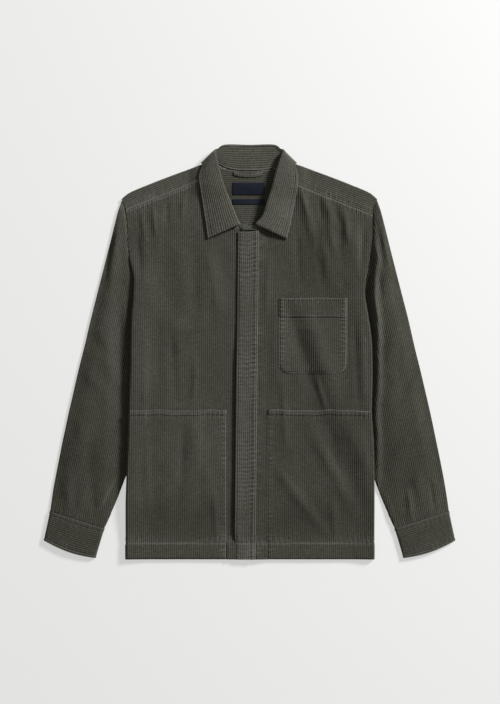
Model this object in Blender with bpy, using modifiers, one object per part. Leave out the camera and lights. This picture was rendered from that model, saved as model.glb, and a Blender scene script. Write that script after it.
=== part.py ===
"""A corduroy shacket laid flat with its front up.

X runs across the garment, Y from hem to collar and Z up from the surface that it lies on.
Sizes are in millimetres and become metres where a mesh is made. Left is -X and right is +X,
as seen from above. Each piece is an open sheet that a Solidify modifier makes a wall.
"""

import math
from collections import namedtuple

import bmesh
import bpy
import numpy as np

# Cloth
CLOTH = 1.5            # one layer of corduroy
DOUBLED = 2.6          # cuffs, which are two layers
LEAF = 2.0             # collar leaf, two layers pressed flat
STAND = 1.3            # collar stand, pressed thinner still
LABEL = 0.7            # woven label
SEAM_GAP = 0.3         # between two pieces at a seam
LAY_GAP = 0.45         # between a panel and what lies on it
LEAF_CLEAR = 1.3       # between the collar leaf and a front

# Body
HEM_Y = -374.5
YOKE_SEAM_Y = 217.0    # straight seam across the back
STACK = 4.5            # height of the body's two layers
FOLD_RADIUS = 2.2      # shoulder fold of the yoke
SIDE_RADIUS = 3.2      # half the height of the rolled side
OVERLAP_RISE = 2.25    # how far the right front rises over the left one
FLY_EDGE_X = 14.0      # stitched edge of the fly strip

# Sleeves tucked under the body
ARMHOLE_END_Y = 130.0  # below it the armhole seam is hidden
UNDERARM_CLEAR = 0.9   # extra room beside the sleeve at the underarm
TUCK_HEIGHT = 4.5      # underside of the body where a sleeve lies beneath it
SLEEVE_FLAT = 4.0      # height of a sleeve beneath the body
SLEEVE_CROWN = 4.2
SLEEVE_EDGE_RADIUS = 2.0
CUFF_RADIUS = 3.4
CUFF_CROWN = 1.0
CUFF_BOW = 5.5          # how far the middle of the free edge hangs below its corners

# Collar
ROLL_RADIUS = 2.2      # middle of the leaf's wall where it turns over
STAND_SHORT = 0.5      # where the stand ends, before the roll
NECK_LIFT = 4.3        # underside of the yoke over the leaf's back
ROLL_SEAM_ANGLE = 0.6  # where the leaf starts on the roll, past the stand
LEAF_SWELL = 1.6       # how far the leaf bows between its roll and its edge
FLAT_ABOVE = 0.99      # share of +Z in a facing that counts as flat on the fronts

# Pockets and trims
CHEST_LEFT_X, CHEST_RIGHT_X = 52.0, 176.0
CHEST_TOP_Y, CHEST_BAND_Y, CHEST_BOTTOM_Y = 97.0, 65.0, -39.0
CHEST_CORNER = 20.0
BAND_LIFT = 0.5        # how far the pocket's top band stands off
LOWER_LEFT_INNER_X, LOWER_RIGHT_INNER_X = -41.0, 32.0
LOWER_BOTTOM_GAP = 2.0

# Visible armhole seam down to y 130, and below it the rolled side of the body
Side = namedtuple("Side", "y left right")
SIDES = [
    Side(273, 231, 231), Side(262, 224.5, 225), Side(248, 222, 223), Side(212, 220, 223),
    Side(185, 218, 220), Side(160, 214, 216), Side(145, 211, 213), Side(130, 209, 210),
    Side(105, 210, 208.5), Side(80, 212, 212), Side(50, 213.5, 217), Side(15, 214.5, 221),
    Side(-40, 215.5, 222), Side(-105, 218, 220.5), Side(-160, 220, 224),
    Side(-232, 222.5, 225.5), Side(-290, 224, 226), Side(-374.5, 224, 225.5),
]

# How far the hidden seam lies inside the rolled side
Inset = namedtuple("Inset", "y inset")
SEAM_INSETS = [
    Inset(273, 0), Inset(131, 0), Inset(120, 3), Inset(94, 17), Inset(62, 43), Inset(40, 69),
    Inset(13, 56), Inset(-24, 37), Inset(-60, 28), Inset(-120, 25), Inset(-374.5, 22),
]

# Inner fold of a sleeve, beneath the body and then beside it
Inner = namedtuple("Inner", "y x")
SLEEVE_INNER = [
    Inner(40, 143), Inner(-14, 149), Inner(-87, 167), Inner(-159, 193), Inner(-229, 225),
    Inner(-250, 233), Inner(-268, 240), Inner(-282, 246), Inner(-299, 253), Inner(-318, 262),
]

# Outer fold of a sleeve, from the shoulder point to the cuff
Outer = namedtuple("Outer", "y x")
SLEEVE_OUTER = [
    Outer(273, 231), Outer(262, 235.5), Outer(230, 244), Outer(186, 255), Outer(143, 266),
    Outer(100, 277), Outer(56, 288), Outer(13, 298), Outer(-31, 309), Outer(-74, 319),
    Outer(-118, 329), Outer(-161, 338), Outer(-205, 347), Outer(-248, 355), Outer(-287, 360.5),
]

# Corners of a cuff: outer and inner end of its seam, then of its free edge
Corner = namedtuple("Corner", "x y")
CUFF_SEAM_OUTER, CUFF_SEAM_INNER = Corner(360.5, -287), Corner(262, -318)
CUFF_EDGE_OUTER, CUFF_EDGE_INNER = Corner(372, -340), Corner(278, -372)

# Shoulder fold of the yoke, and its straight seam on each front from the neck outwards
Shoulder = namedtuple("Shoulder", "x fold")
SHOULDERS = [
    Shoulder(229, 277), Shoulder(217, 287), Shoulder(183, 302), Shoulder(145, 317),
    Shoulder(109, 330.5), Shoulder(89, 337.5), Shoulder(66, 345.5),
]
NECK_SIDE_X = 66.0
YOKE_SEAM_AT_NECK = {"left": 318.5, "right": 311.0}
YOKE_SEAM_FALL = 0.402  # drop of that seam for each millimetre outwards

# Front neckline, hidden beneath the collar leaf, and back neckline
Neck = namedtuple("Neck", "x y")
FRONT_NECK = [Neck(0, 217), Neck(14, 220), Neck(32, 238), Neck(52, 266), Neck(66, 314)]
BACK_NECK = [Neck(0, 326.5), Neck(16, 327), Neck(32, 328.5), Neck(48, 332), Neck(57, 337.5), Neck(66, 345.5)]

# Folds of the fronts: start, end, height and half width
Fold = namedtuple("Fold", "name x0 y0 x1 y1 height width")
FRONT_FOLDS = [
    Fold("through the chest pocket", 86, 100, 138, -96, 3.2, 15),
    Fold("beside the chest pocket", 30, 150, 48, -60, 2.0, 16),
    Fold("below the right collar point", 88, 256, 104, 190, 2.6, 10),
    Fold("below the right yoke", 138, 268, 146, 196, 2.4, 9),
    Fold("at the right armhole", 186, 246, 196, 140, 2.8, 12),
    Fold("right lower front", 112, -130, 96, -340, 2.2, 17),
    Fold("right hem", 178, -190, 190, -350, 2.0, 15),
    Fold("below the left yoke", -172, 262, -166, 180, 2.4, 10),
    Fold("left chest", -128, 230, -122, 20, 2.2, 18),
    Fold("left front edge", -62, 190, -70, -60, 2.4, 17),
    Fold("left armhole", -196, 236, -188, 120, 2.2, 12),
    Fold("left lower front", -150, -60, -158, -330, 2.4, 18),
    Fold("left pocket", -84, -150, -92, -350, 2.0, 16),
]
SLEEVE_FOLDS = [
    Fold("right elbow", 272, 60, 236, -40, 2.6, 12),
    Fold("right forearm", 318, -112, 262, -190, 2.2, 12),
    Fold("right sleeve head", 238, 236, 258, 130, 2.4, 10),
    Fold("right wrist", 300, -214, 312, -284, 2.0, 10),
    Fold("left elbow", -268, 40, -238, -70, 2.6, 12),
    Fold("left forearm", -322, -140, -268, -214, 2.2, 12),
    Fold("left sleeve head", -234, 232, -254, 120, 2.2, 10),
    Fold("left wrist", -292, -220, -306, -286, 2.0, 10),
]

# Collar sections: neckline end of the stand, visible roll and outer edge of the leaf. The outward
# direction of the leaf is up on the front and down behind the neck.
Section = namedtuple("Section", "name nx ny nz rx ry rz lx ly lz ox oy oz")
COLLAR_LEFT = [
    Section("left front", -27, 223, 6.8, -16.5, 231, 9.8, -75.5, 205, 7, 0, 0, 1),
    Section("left lower", -33, 241, 6.4, -24, 248, 10.0, -79.5, 232, 7, 0, 0, 1),
    Section("left middle", -51.5, 269, 6.6, -35, 275, 10.2, -84, 262, 7, 0, 0, 1),
    Section("left upper", -59, 294, 8.2, -45, 301, 11.0, -88.5, 292, 8, 0, 0, 1),
    Section("left side", -64.5, 320, 9.0, -53, 328, 12.2, -91.5, 318, 11, 0, 0, 1),
    Section("left shoulder", -63, 341, 9.8, -59, 356, 12.2, -91, 337, 11.2, 0, 0, 1),
]
COLLAR_BACK = [
    Section("left back", -61, 342, 6.0, -57, 366.2, 4.4, -88, 339, 1.5, 0, 0, -1),
    Section("left back neck", -34, 330.5, 6.0, -42, 375, 3.8, -50, 324, 1.5, 0, 0, -1),
    Section("centre back", 0, 328, 6.0, 0, 374.5, 3.8, 0, 313, 1.5, 0, 0, -1),
    Section("right back neck", 34, 330.5, 6.0, 42, 375, 3.8, 50, 324, 1.5, 0, 0, -1),
    Section("right back", 61, 342, 6.0, 55.5, 366.2, 4.4, 86, 339, 1.5, 0, 0, -1),
]
COLLAR_RIGHT = [
    Section("right shoulder", 63, 341, 9.8, 56, 356, 12.2, 89, 337, 11.2, 0, 0, 1),
    Section("right side", 64.5, 318, 9.0, 47, 327, 12.2, 88.5, 315, 11, 0, 0, 1),
    Section("right upper", 59.2, 292, 8.2, 40, 299, 11.0, 86, 290, 8, 0, 0, 1),
    Section("right middle", 50.5, 268, 6.6, 32, 274, 10.2, 80, 259, 7, 0, 0, 1),
    Section("right lower", 33, 241, 6.6, 23.5, 248, 10.2, 73.5, 227, 7, 0, 0, 1),
    Section("right front", 19, 222, 8.2, 10, 231.5, 11.2, 67.5, 204.5, 8, 0, 0, 1),
]
STAND_END = Section("overlap of the stand", -12.5, 220, 8.0, -12.5, 237.5, 11.0, 0, 0, 0, 0, 0, 1)
STEPS_PER_SECTION = 3
TURN_STEPS = 6         # from the front over the shoulder crease to the back
TURN_WAYS = ((1.0, 0.0), (0.85, 0.53), (0.65, 0.76))  # outwards at the neckline, the roll and the edge

# Colours, linear
OLIVE = (0.048, 0.047, 0.037, 1.0)
NAVY = (0.012, 0.017, 0.035, 1.0)


def smooth(t):
    """Ease from 0 to 1."""
    t = min(max(t, 0.0), 1.0)
    return t * t * (3.0 - 2.0 * t)


def ramp(value, start, end):
    """0 at start and 1 at end, eased."""
    return smooth((value - start) / (end - start))


def lerp(a, b, t):
    return a + (b - a) * t


def read(rows, key, column, value):
    """Value of a table's column at a place, on a curve through its rows that doesn't overshoot."""
    rows = sorted(rows, key=lambda row: getattr(row, key))
    at = np.array([getattr(row, key) for row in rows], float)
    of = np.array([getattr(row, column) for row in rows], float)
    if value <= at[0]:
        return float(of[0])
    if value >= at[-1]:
        return float(of[-1])
    slope = np.diff(of) / np.diff(at)
    tangent = np.zeros(len(at))
    for k in range(1, len(at) - 1):
        if slope[k - 1] * slope[k] > 0:
            tangent[k] = 2 * slope[k - 1] * slope[k] / (slope[k - 1] + slope[k])
    tangent[0], tangent[-1] = slope[0], slope[-1]
    k = int(np.searchsorted(at, value, side="right")) - 1
    width = at[k + 1] - at[k]
    t = (value - at[k]) / width
    return float(
        (2 * t**3 - 3 * t**2 + 1) * of[k]
        + (t**3 - 2 * t**2 + t) * width * tangent[k]
        + (3 * t**2 - 2 * t**3) * of[k + 1]
        + (t**3 - t**2) * width * tangent[k + 1]
    )


def side_name(sign):
    return "right" if sign > 0 else "left"


def side_x(sign, y):
    """Distance of the visible side of the body from the centre line."""
    return read(SIDES, "y", side_name(sign), y)


def seam_x(sign, y):
    """Distance of the armhole seam and, below it, of the hidden side seam."""
    return side_x(sign, y) - read(SEAM_INSETS, "y", "inset", y)


def yoke_seam(sign, x):
    """Height of the yoke's seam on a front."""
    return YOKE_SEAM_AT_NECK[side_name(sign)] - YOKE_SEAM_FALL * (abs(x) - NECK_SIDE_X)


def tuck_x(sign, y):
    """Distance at which the sleeve beneath the body starts."""
    if y > SLEEVE_INNER[0].y:
        return seam_x(sign, y)
    return read(SLEEVE_INNER, "y", "x", y)


def neck_lift(x, y):
    """How far the yoke rises over the back of the collar leaf."""
    return NECK_LIFT * (1 - ramp(abs(x), 92, 112)) * ramp(y, 270, 305)


def body_under(sign, x, y):
    """Height of the body's underside where a sleeve lies beneath it."""
    start = tuck_x(sign, y)
    return TUCK_HEIGHT * ramp(abs(x), start - 28, start - 9)


def fold_height(folds, x, y):
    """Sum of soft ridges, each faded at its two ends."""
    total = 0.0
    for fold in folds:
        dx, dy = fold.x1 - fold.x0, fold.y1 - fold.y0
        length = math.hypot(dx, dy)
        along = ((x - fold.x0) * dx + (y - fold.y0) * dy) / length
        across = ((x - fold.x0) * dy - (y - fold.y0) * dx) / length
        fade = ramp(along, -0.1 * length, 0.3 * length) * ramp(along, 1.1 * length, 0.6 * length)
        total += fold.height * fade * math.exp(-((across / fold.width) ** 2))
    return total


def body_top(x, y):
    """Height of the fronts' outer face."""
    sign = 1 if x > 0 else -1
    edge = side_x(sign, y)
    start = tuck_x(sign, y)
    low = ramp(y, 190, 120)
    over_sleeve = TUCK_HEIGHT * ramp(abs(x), start - 62, start - 9) * low
    roll = (2 * SIDE_RADIUS - STACK) * ramp(abs(x), edge - 48, edge - SIDE_RADIUS) * low
    calm_side = 1 - ramp(abs(x), edge - 14, edge - SIDE_RADIUS)
    calm_hem = ramp(y, HEM_Y, HEM_Y + 60)
    folds = fold_height(FRONT_FOLDS, x, y) * calm_side * (0.35 + 0.65 * calm_hem)
    return STACK + neck_lift(x, y) + over_sleeve + roll + folds


def right_front_top(x, y):
    """Height of the right front, which rises over the left one at the front edge."""
    return body_top(x, y) + OVERLAP_RISE * (1 - ramp(x, FLY_EDGE_X + 1, FLY_EDGE_X + 22))


def sleeve_top(sign, x, y, outer_distance):
    """Height of a sleeve's outer face: flat beneath the body and crowned beside it."""
    beside = abs(x) - side_x(sign, y)
    base = SLEEVE_FLAT + 0.8 * ramp(y, 122, 146)
    crown = SLEEVE_CROWN * ramp(beside, 3, 34) * ramp(outer_distance, 0, 34)
    folds = fold_height(SLEEVE_FOLDS, x, y) * ramp(beside, 3, 20) * ramp(outer_distance, 0, 16)
    calm_cuff = ramp(y, -318, -285)
    return base + crown * (0.4 + 0.6 * calm_cuff) + folds * calm_cuff


def material(name, colour, roughness):
    made = bpy.data.materials.new(name)
    made.use_nodes = True
    shader = made.node_tree.nodes["Principled BSDF"]
    shader.inputs["Base Color"].default_value = colour
    shader.inputs["Roughness"].default_value = roughness
    shader.inputs["Metallic"].default_value = 0.0
    return made


def sheet(name, rows, thickness, colour=OLIVE, closed=False, skip=None, middle=False, flip=False):
    """Make one piece from rows of points.

    closed joins the last column to the first, as round a sleeve. skip names the cells that are left
    out. middle says that the rows are the middle of the wall and not its outer face.
    """
    mesh_data = bpy.data.meshes.new(name)
    bm = bmesh.new()
    grid = [[bm.verts.new((x / 1000, y / 1000, z / 1000)) for x, y, z in row] for row in rows]
    columns = len(rows[0])
    for i in range(len(rows) - 1):
        for j in range(columns if closed else columns - 1):
            if skip and skip(i, j):
                continue
            k = (j + 1) % columns
            corners = [grid[i][j], grid[i][k], grid[i + 1][k], grid[i + 1][j]]
            bm.faces.new(corners[::-1] if flip else corners)
    loose = [vert for vert in bm.verts if not vert.link_faces]
    bmesh.ops.delete(bm, geom=loose, context="VERTS")
    bm.to_mesh(mesh_data)
    bm.free()
    piece = bpy.data.objects.new(name, mesh_data)
    PARTS.objects.link(piece)
    roughness = 0.6 if colour == NAVY else 0.92
    mesh_data.materials.append(material(name, colour, roughness))
    wall = piece.modifiers.new("Wall", "SOLIDIFY")
    wall.thickness = thickness / 1000
    wall.offset = 0.0 if middle else -1.0
    wall.use_even_offset = not middle
    wall.use_rim = True
    return piece


# Heights at which the sleeve, the back and about the fronts have a point on the armhole seam
ARMHOLE_Y = [273.0, 250.0, 217.0, 190.0, 165.0, 145.0, 125.0, 105.0, 85.0, 62.0, 40.0]

# Rows of the fronts
LOWER_ROWS = [-105 + (HEM_Y + LOWER_BOTTOM_GAP + 105) * k / 9 for k in range(10)]
CHEST_ROWS = [97.0, 81.0, 65.0, 37.0, 9.0, -19.0, -39.0]
BETWEEN_ROWS = [-61.0, -83.0]
TOP_FRACTIONS = [0.0, 0.11, 0.22, 0.33, 0.45, 0.58, 0.70, 0.82, 0.93]
LEFT_COLUMNS = [4.0, -12.0, -27.0, -41.0, -53.0, -66.0, -81.0, -101.0, -122.0, -143.0, -163.0]
RIGHT_COLUMNS = [-24.0, -5.0, 14.0, 32.0, 42.0, 52.0, 66.0, 79.0, 93.3, 114.0, 134.7, 155.3, 176.0]
OUTER_FRACTIONS = [0.42, 0.78, 1.0]
ROLL_ARC_STEPS = 4
ROLL_RETURN_STEPS = 2
ROLL_STARTS_Y, ROLL_WHOLE_Y = 165.0, 98.0


def front_top_edge(sign, x):
    """Upper edge of a front: the neckline, then the yoke seam."""
    distance = abs(x) if x * sign > 0 else 0.0
    if distance < FRONT_NECK[-1].x:
        return read(FRONT_NECK, "x", "y", distance)
    return yoke_seam(sign, x) - SEAM_GAP


def front_column(sign, columns, index, y):
    """X of a front's column at a height. The outer ones follow the side of the body."""
    if index < len(columns):
        return columns[index]
    limit = sign * (side_x(sign, y) - SIDE_RADIUS)
    return lerp(columns[-1], limit, OUTER_FRACTIONS[index - len(columns)])


def rolled_side(sign, y, top, level):
    """Points from the start of the rolled side to the hidden seam, or to the armhole seam.

    level gives the row's y at an x, because the highest rows slope with the yoke seam.
    """
    edge = side_x(sign, y)
    start = edge - SIDE_RADIUS
    rolled = ramp(y, ROLL_STARTS_Y, ROLL_WHOLE_Y)
    beneath = body_under(sign, start, y) if y < SLEEVE_INNER[0].y else TUCK_HEIGHT
    half = (top - beneath) / 2
    turn = rolled * math.pi
    arc_length = rolled * math.pi * SIDE_RADIUS
    inset = edge - SEAM_GAP - seam_x(sign, y)
    straight = (1 - rolled) * (SIDE_RADIUS - SEAM_GAP) + rolled**2 * max(inset - SIDE_RADIUS, 3.0)
    first = arc_length + (1 - rolled) * 0.55 * straight
    whole = arc_length + straight
    lengths = [first * k / ROLL_ARC_STEPS for k in range(1, ROLL_ARC_STEPS + 1)]
    lengths += [lerp(first, whole, k / ROLL_RETURN_STEPS) for k in range(1, ROLL_RETURN_STEPS + 1)]
    points = []
    for length in lengths:
        angle = turn * min(length / arc_length, 1.0) if arc_length > 0 else 0.0
        beyond = max(length - arc_length, 0.0)
        x = start + SIDE_RADIUS * math.sin(angle) + beyond * math.cos(angle)
        z = top - half * (1 - math.cos(angle)) - beyond * math.sin(angle)
        if y > SLEEVE_INNER[0].y:
            z = max(z, TUCK_HEIGHT * ramp(y, ARMHOLE_END_Y, ARMHOLE_END_Y - 8))
        elif beyond > 0:
            z = body_under(sign, x, y)
        points.append((sign * x, level(sign * x, y), z))
    return points


def front_rows(sign, columns, height):
    """Outer face of a front, from its top edge down to the hem."""
    lines = [("top", fraction) for fraction in TOP_FRACTIONS]
    lines += [("level", y) for y in CHEST_ROWS + BETWEEN_ROWS + LOWER_ROWS + [HEM_Y]]
    rows = []
    for kind, value in lines:
        row = []
        for index in range(len(columns) + len(OUTER_FRACTIONS)):
            y = value if kind == "level" else CHEST_TOP_Y
            x = front_column(sign, columns, index, y)
            for _ in range(3 if kind == "top" else 0):
                y = lerp(front_top_edge(sign, x), CHEST_TOP_Y, value)
                x = front_column(sign, columns, index, y)
            row.append((x, y, height(x, y)))
        def level(x, y, kind=kind, value=value):
            return lerp(front_top_edge(sign, x), CHEST_TOP_Y, value) if kind == "top" else y

        rows.append(row + rolled_side(sign, row[-1][1], row[-1][2], level))
    return rows


def raised(rows, first_row, last_row, first_column, last_column, rise):
    """A patch made from a panel's own points, moved out."""
    return [
        [(x, y, z + rise) for x, y, z in row[first_column:last_column + 1]]
        for row in rows[first_row:last_row + 1]
    ]


def make_fronts():
    """The two fronts, the fly strip and the lower pockets, which share the fronts' points."""
    left = front_rows(-1, LEFT_COLUMNS, body_top)
    right = front_rows(1, RIGHT_COLUMNS, right_front_top)
    sheet("front_left", left, CLOTH)
    sheet("front_right", right, CLOTH, flip=True)
    on_panel = CLOTH + LAY_GAP
    fly = raised(right, 0, len(right) - 1, 0, RIGHT_COLUMNS.index(FLY_EDGE_X), on_panel)
    fly = [[(x, y - 0.6 * (k == 0), z) for x, y, z in row] for k, row in enumerate(fly)]
    sheet("placket", fly, CLOTH, flip=True)
    top = len(TOP_FRACTIONS + CHEST_ROWS + BETWEEN_ROWS)
    bottom = len(right) - 2
    inner = LEFT_COLUMNS.index(LOWER_LEFT_INNER_X)
    outer = len(LEFT_COLUMNS) + len(OUTER_FRACTIONS) - 1
    sheet("lower_pocket_left", raised(left, top, bottom, inner, outer, on_panel), CLOTH)
    inner = RIGHT_COLUMNS.index(LOWER_RIGHT_INNER_X)
    outer = len(RIGHT_COLUMNS) + len(OUTER_FRACTIONS) - 1
    sheet("lower_pocket_right", raised(right, top, bottom, inner, outer, on_panel), CLOTH, flip=True)


def make_chest_pocket():
    """Patch pocket with rounded lower corners and a top band that stands off a little."""
    first, last = RIGHT_COLUMNS.index(CHEST_LEFT_X), RIGHT_COLUMNS.index(CHEST_RIGHT_X)
    columns = RIGHT_COLUMNS[first:last + 1]
    calm_left, calm_right = columns[3], columns[-3]
    corner_top = CHEST_BOTTOM_Y + CHEST_CORNER
    corner_angles = [30, 60, 80, 90]
    levels = [y for y in CHEST_ROWS if y >= corner_top]
    levels += [corner_top - CHEST_CORNER * math.sin(math.radians(a)) for a in corner_angles]
    rows = []
    for y in levels:
        below = max(corner_top - y, 0.0)
        narrow = CHEST_CORNER - math.sqrt(max(CHEST_CORNER**2 - below**2, 0.0))
        band = BAND_LIFT * (y > CHEST_BAND_Y - 1)
        row = []
        for column in columns:
            x = column
            if column < calm_left:
                x = lerp(calm_left, CHEST_LEFT_X + narrow, (calm_left - column) / (calm_left - columns[0]))
            if column > calm_right:
                x = lerp(calm_right, CHEST_RIGHT_X - narrow, (column - calm_right) / (columns[-1] - calm_right))
            upper, lower = right_front_top(x, corner_top), right_front_top(x, CHEST_BOTTOM_Y)
            base = lerp(upper, lower, below / CHEST_CORNER) if below > 0 else right_front_top(x, y)
            row.append((x, y, base + CLOTH + LAY_GAP + 0.2 + band))
        rows.append(row)
    sheet("chest_pocket", rows, CLOTH, flip=True)


BACK_HALF = [0.0, 36.0, 72.0, 108.0]
BACK_OUTER = [0.12, 0.24, 0.36, 0.48, 0.60, 0.72, 0.84, 0.93, 1.0]
BACK_ROWS = ARMHOLE_Y[2:] + [26.0, 12.0, -4.0]
BACK_LOWER_ROWS = 10


def make_back():
    """Back panel: on the surface in the middle, over the tucked sleeves at the sides."""
    last = BACK_ROWS[-1]
    levels = BACK_ROWS + [lerp(last, HEM_Y, k / BACK_LOWER_ROWS) for k in range(1, BACK_LOWER_ROWS + 1)]
    rows = []
    for y in levels:
        level = y - SEAM_GAP * (y == YOKE_SEAM_Y)
        halves = {}
        for sign in (-1, 1):
            near_underarm = ramp(y, 0, 30) * ramp(y, 125, 80)
            limit = seam_x(sign, y) - SEAM_GAP - UNDERARM_CLEAR * near_underarm
            across = BACK_HALF[1:] + [lerp(BACK_HALF[-1], limit, f) for f in BACK_OUTER]
            below_armhole = ramp(y, SLEEVE_INNER[0].y + 16, SLEEVE_INNER[0].y)
            halves[sign] = [(sign * x, level, body_under(sign, x, y) * below_armhole) for x in across]
        rows.append(halves[-1][::-1] + [(0.0, level, 0.0)] + halves[1])
    sheet("back", rows, CLOTH)


YOKE_SHOULDER_X = [229.0, 217.0, 200.0, 178.0, 156.0, 134.0, 116.0, 104.0, 95.0, 86.0, 76.0, 66.0]
YOKE_NECK_X = [57.0, 48.0, 32.0, 16.0, 0.0]
YOKE_BACK_FRACTIONS = [0.0, 0.41, 0.57, 0.69, 0.81, 1.0]
YOKE_BACK_STEPS, YOKE_FOLD_STEPS, YOKE_FRONT_STEPS = len(YOKE_BACK_FRACTIONS) - 1, 4, 2


def yoke_column(sign, nominal):
    """Points of one column of the yoke, from the back seam over the shoulder to the front seam."""
    widest, narrowest = YOKE_SHOULDER_X[0], YOKE_SHOULDER_X[-1]

    def place(y):
        if nominal <= narrowest:
            return nominal
        limit = seam_x(sign, y) - SEAM_GAP
        return lerp(narrowest, limit, (nominal - narrowest) / (widest - narrowest))

    in_neck = nominal < narrowest
    fold = read(BACK_NECK, "x", "y", nominal) if in_neck else read(SHOULDERS, "x", "fold", nominal)
    top_of_back = fold if in_neck else fold - FOLD_RADIUS
    points = []
    for fraction in YOKE_BACK_FRACTIONS:
        y = lerp(YOKE_SEAM_Y, top_of_back, fraction)
        x = sign * place(y)
        points.append((x, y, neck_lift(x, y)))
    base = points[-1][2]
    upper = body_top(points[-1][0], top_of_back)
    half = (upper - base) / 2
    for k in range(1, YOKE_FOLD_STEPS + 1):
        angle = math.pi * k / YOKE_FOLD_STEPS
        y = top_of_back + FOLD_RADIUS * math.sin(angle)
        points.append((sign * place(y), y, base + half * (1 - math.cos(angle))))
    seam = yoke_seam(sign, nominal)
    for _ in range(3):
        seam = yoke_seam(sign, place(seam))
    for k in range(1, YOKE_FRONT_STEPS + 1):
        y = lerp(top_of_back, seam, k / YOKE_FRONT_STEPS)
        x = sign * place(y)
        points.append((x, y, body_top(x, y)))
    return points


def make_yoke():
    """Back yoke, brought over both shoulders. The neck columns end at the back neckline."""
    nominal = YOKE_SHOULDER_X + YOKE_NECK_X
    left = [yoke_column(-1, x) for x in nominal]
    right = [yoke_column(1, x) for x in nominal[:-1]][::-1]
    columns = left + right
    neck_first = len(YOKE_SHOULDER_X) - 1
    neck_last = len(columns) - len(YOKE_SHOULDER_X)

    def skip(i, j):
        return j >= YOKE_BACK_STEPS and neck_first <= i < neck_last

    sheet("yoke", columns, CLOTH, skip=skip)


def tube_ring(bottom, top, inner_radius, outer_radius, arc_steps=4):
    """One ring of a flattened tube, from points across it (outer fold first) and top heights."""
    def unit(a, b):
        d = np.array([b[0] - a[0], b[1] - a[1]])
        return d / np.hypot(*d)

    ring = []
    out = -unit(bottom[0], bottom[1])
    into = unit(bottom[-2], bottom[-1])
    first = np.array(bottom[0]) - out * outer_radius
    last = np.array(bottom[-1]) - into * inner_radius
    middle = [np.array(p) for p in bottom[1:-1]]
    ring += [(*first, 0.0)] + [(*p, 0.0) for p in middle] + [(*last, 0.0)]
    half = top[-1] / 2
    for k in range(1, arc_steps):
        angle = math.pi * k / arc_steps
        ring.append((*(last + into * inner_radius * math.sin(angle)), half * (1 - math.cos(angle))))
    ring += [(*last, top[-1])] + [(*p, z) for p, z in zip(middle[::-1], top[1:-1][::-1])]
    ring += [(*first, top[0])]
    half = top[0] / 2
    for k in range(1, arc_steps):
        angle = math.pi * k / arc_steps
        ring.append((*(first + out * outer_radius * math.sin(angle)), half * (1 + math.cos(angle))))
    return ring


SLEEVE_ACROSS = len(ARMHOLE_Y)
SLEEVE_STATIONS = 15
ARMHOLE_FADE = 0.42
ARMHOLE_CLEAR = 0.5    # a sleeve's end keeps this much more than the seam gap from the curved seam


def make_sleeve(sign):
    """Flattened tube from the armhole to the cuff seam."""
    armhole = [(seam_x(sign, y) + ARMHOLE_CLEAR, y) for y in ARMHOLE_Y]
    shoulder = (SLEEVE_OUTER[0].x + ARMHOLE_CLEAR, ARMHOLE_Y[0])
    underarm = (SLEEVE_INNER[0].x + ARMHOLE_CLEAR, ARMHOLE_Y[-1])
    rows = []
    for j in range(SLEEVE_STATIONS + 1):
        s = j / SLEEVE_STATIONS
        outer_y = lerp(shoulder[1], CUFF_SEAM_OUTER.y, s)
        outer = (read(SLEEVE_OUTER, "y", "x", outer_y) + ARMHOLE_CLEAR * (s == 0), outer_y)
        inner_y = lerp(underarm[1], CUFF_SEAM_INNER.y, s)
        inner = (read(SLEEVE_INNER, "y", "x", inner_y) + ARMHOLE_CLEAR * (s == 0), inner_y)
        fade = max(1 - s / ARMHOLE_FADE, 0.0) ** 1.6
        across, heights = [], []
        for k in range(SLEEVE_ACROSS):
            v = k / (SLEEVE_ACROSS - 1)
            bend_x = armhole[k][0] - lerp(shoulder[0], underarm[0], v)
            bend_y = armhole[k][1] - lerp(shoulder[1], underarm[1], v)
            x = lerp(outer[0], inner[0], v) + bend_x * fade
            y = lerp(outer[1], inner[1], v) + bend_y * fade
            width = math.hypot(outer[0] - inner[0], outer[1] - inner[1])
            across.append((sign * x, y))
            heights.append(sleeve_top(sign, sign * x, y, v * width))
        rows.append(tube_ring(across, heights, SLEEVE_EDGE_RADIUS, SLEEVE_EDGE_RADIUS + 0.4))
    sheet("sleeve_" + side_name(sign), rows, CLOTH, closed=True, flip=sign > 0)


def make_cuff(sign):
    """Doubled band round the end of a sleeve."""
    rows = []
    steps = 4
    for j in range(steps + 1):
        s = lerp(SEAM_GAP / 54, 1.0, j / steps)
        outer = (lerp(CUFF_SEAM_OUTER.x, CUFF_EDGE_OUTER.x, s), lerp(CUFF_SEAM_OUTER.y, CUFF_EDGE_OUTER.y, s))
        inner = (lerp(CUFF_SEAM_INNER.x, CUFF_EDGE_INNER.x, s), lerp(CUFF_SEAM_INNER.y, CUFF_EDGE_INNER.y, s))
        across, heights = [], []
        for k in range(SLEEVE_ACROSS):
            v = k / (SLEEVE_ACROSS - 1)
            bow = CUFF_BOW * math.sin(math.pi * v) * s
            across.append((sign * lerp(outer[0], inner[0], v), lerp(outer[1], inner[1], v) - bow))
            heights.append(2 * CUFF_RADIUS + CUFF_CROWN * math.sin(math.pi * v))
        rows.append(tube_ring(across, heights, CUFF_RADIUS, CUFF_RADIUS))
    sheet("cuff_" + side_name(sign), rows, DOUBLED, closed=True, flip=sign > 0)


def spline(rows, steps):
    """Catmull-Rom curve through rows of numbers."""
    points = np.array([row[1:] for row in rows], float)
    ends = np.vstack([2 * points[0] - points[1], points, 2 * points[-1] - points[-2]])
    made = []
    for k in range(1, len(ends) - 2):
        a, b, c, d = ends[k - 1], ends[k], ends[k + 1], ends[k + 2]
        for step in range(steps):
            t = step / steps
            made.append(0.5 * (2 * b + (c - a) * t + (2 * a - 5 * b + 4 * c - d) * t * t
                               + (3 * b - a - 3 * c + d) * t**3))
    made.append(points[-1])
    return made


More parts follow.
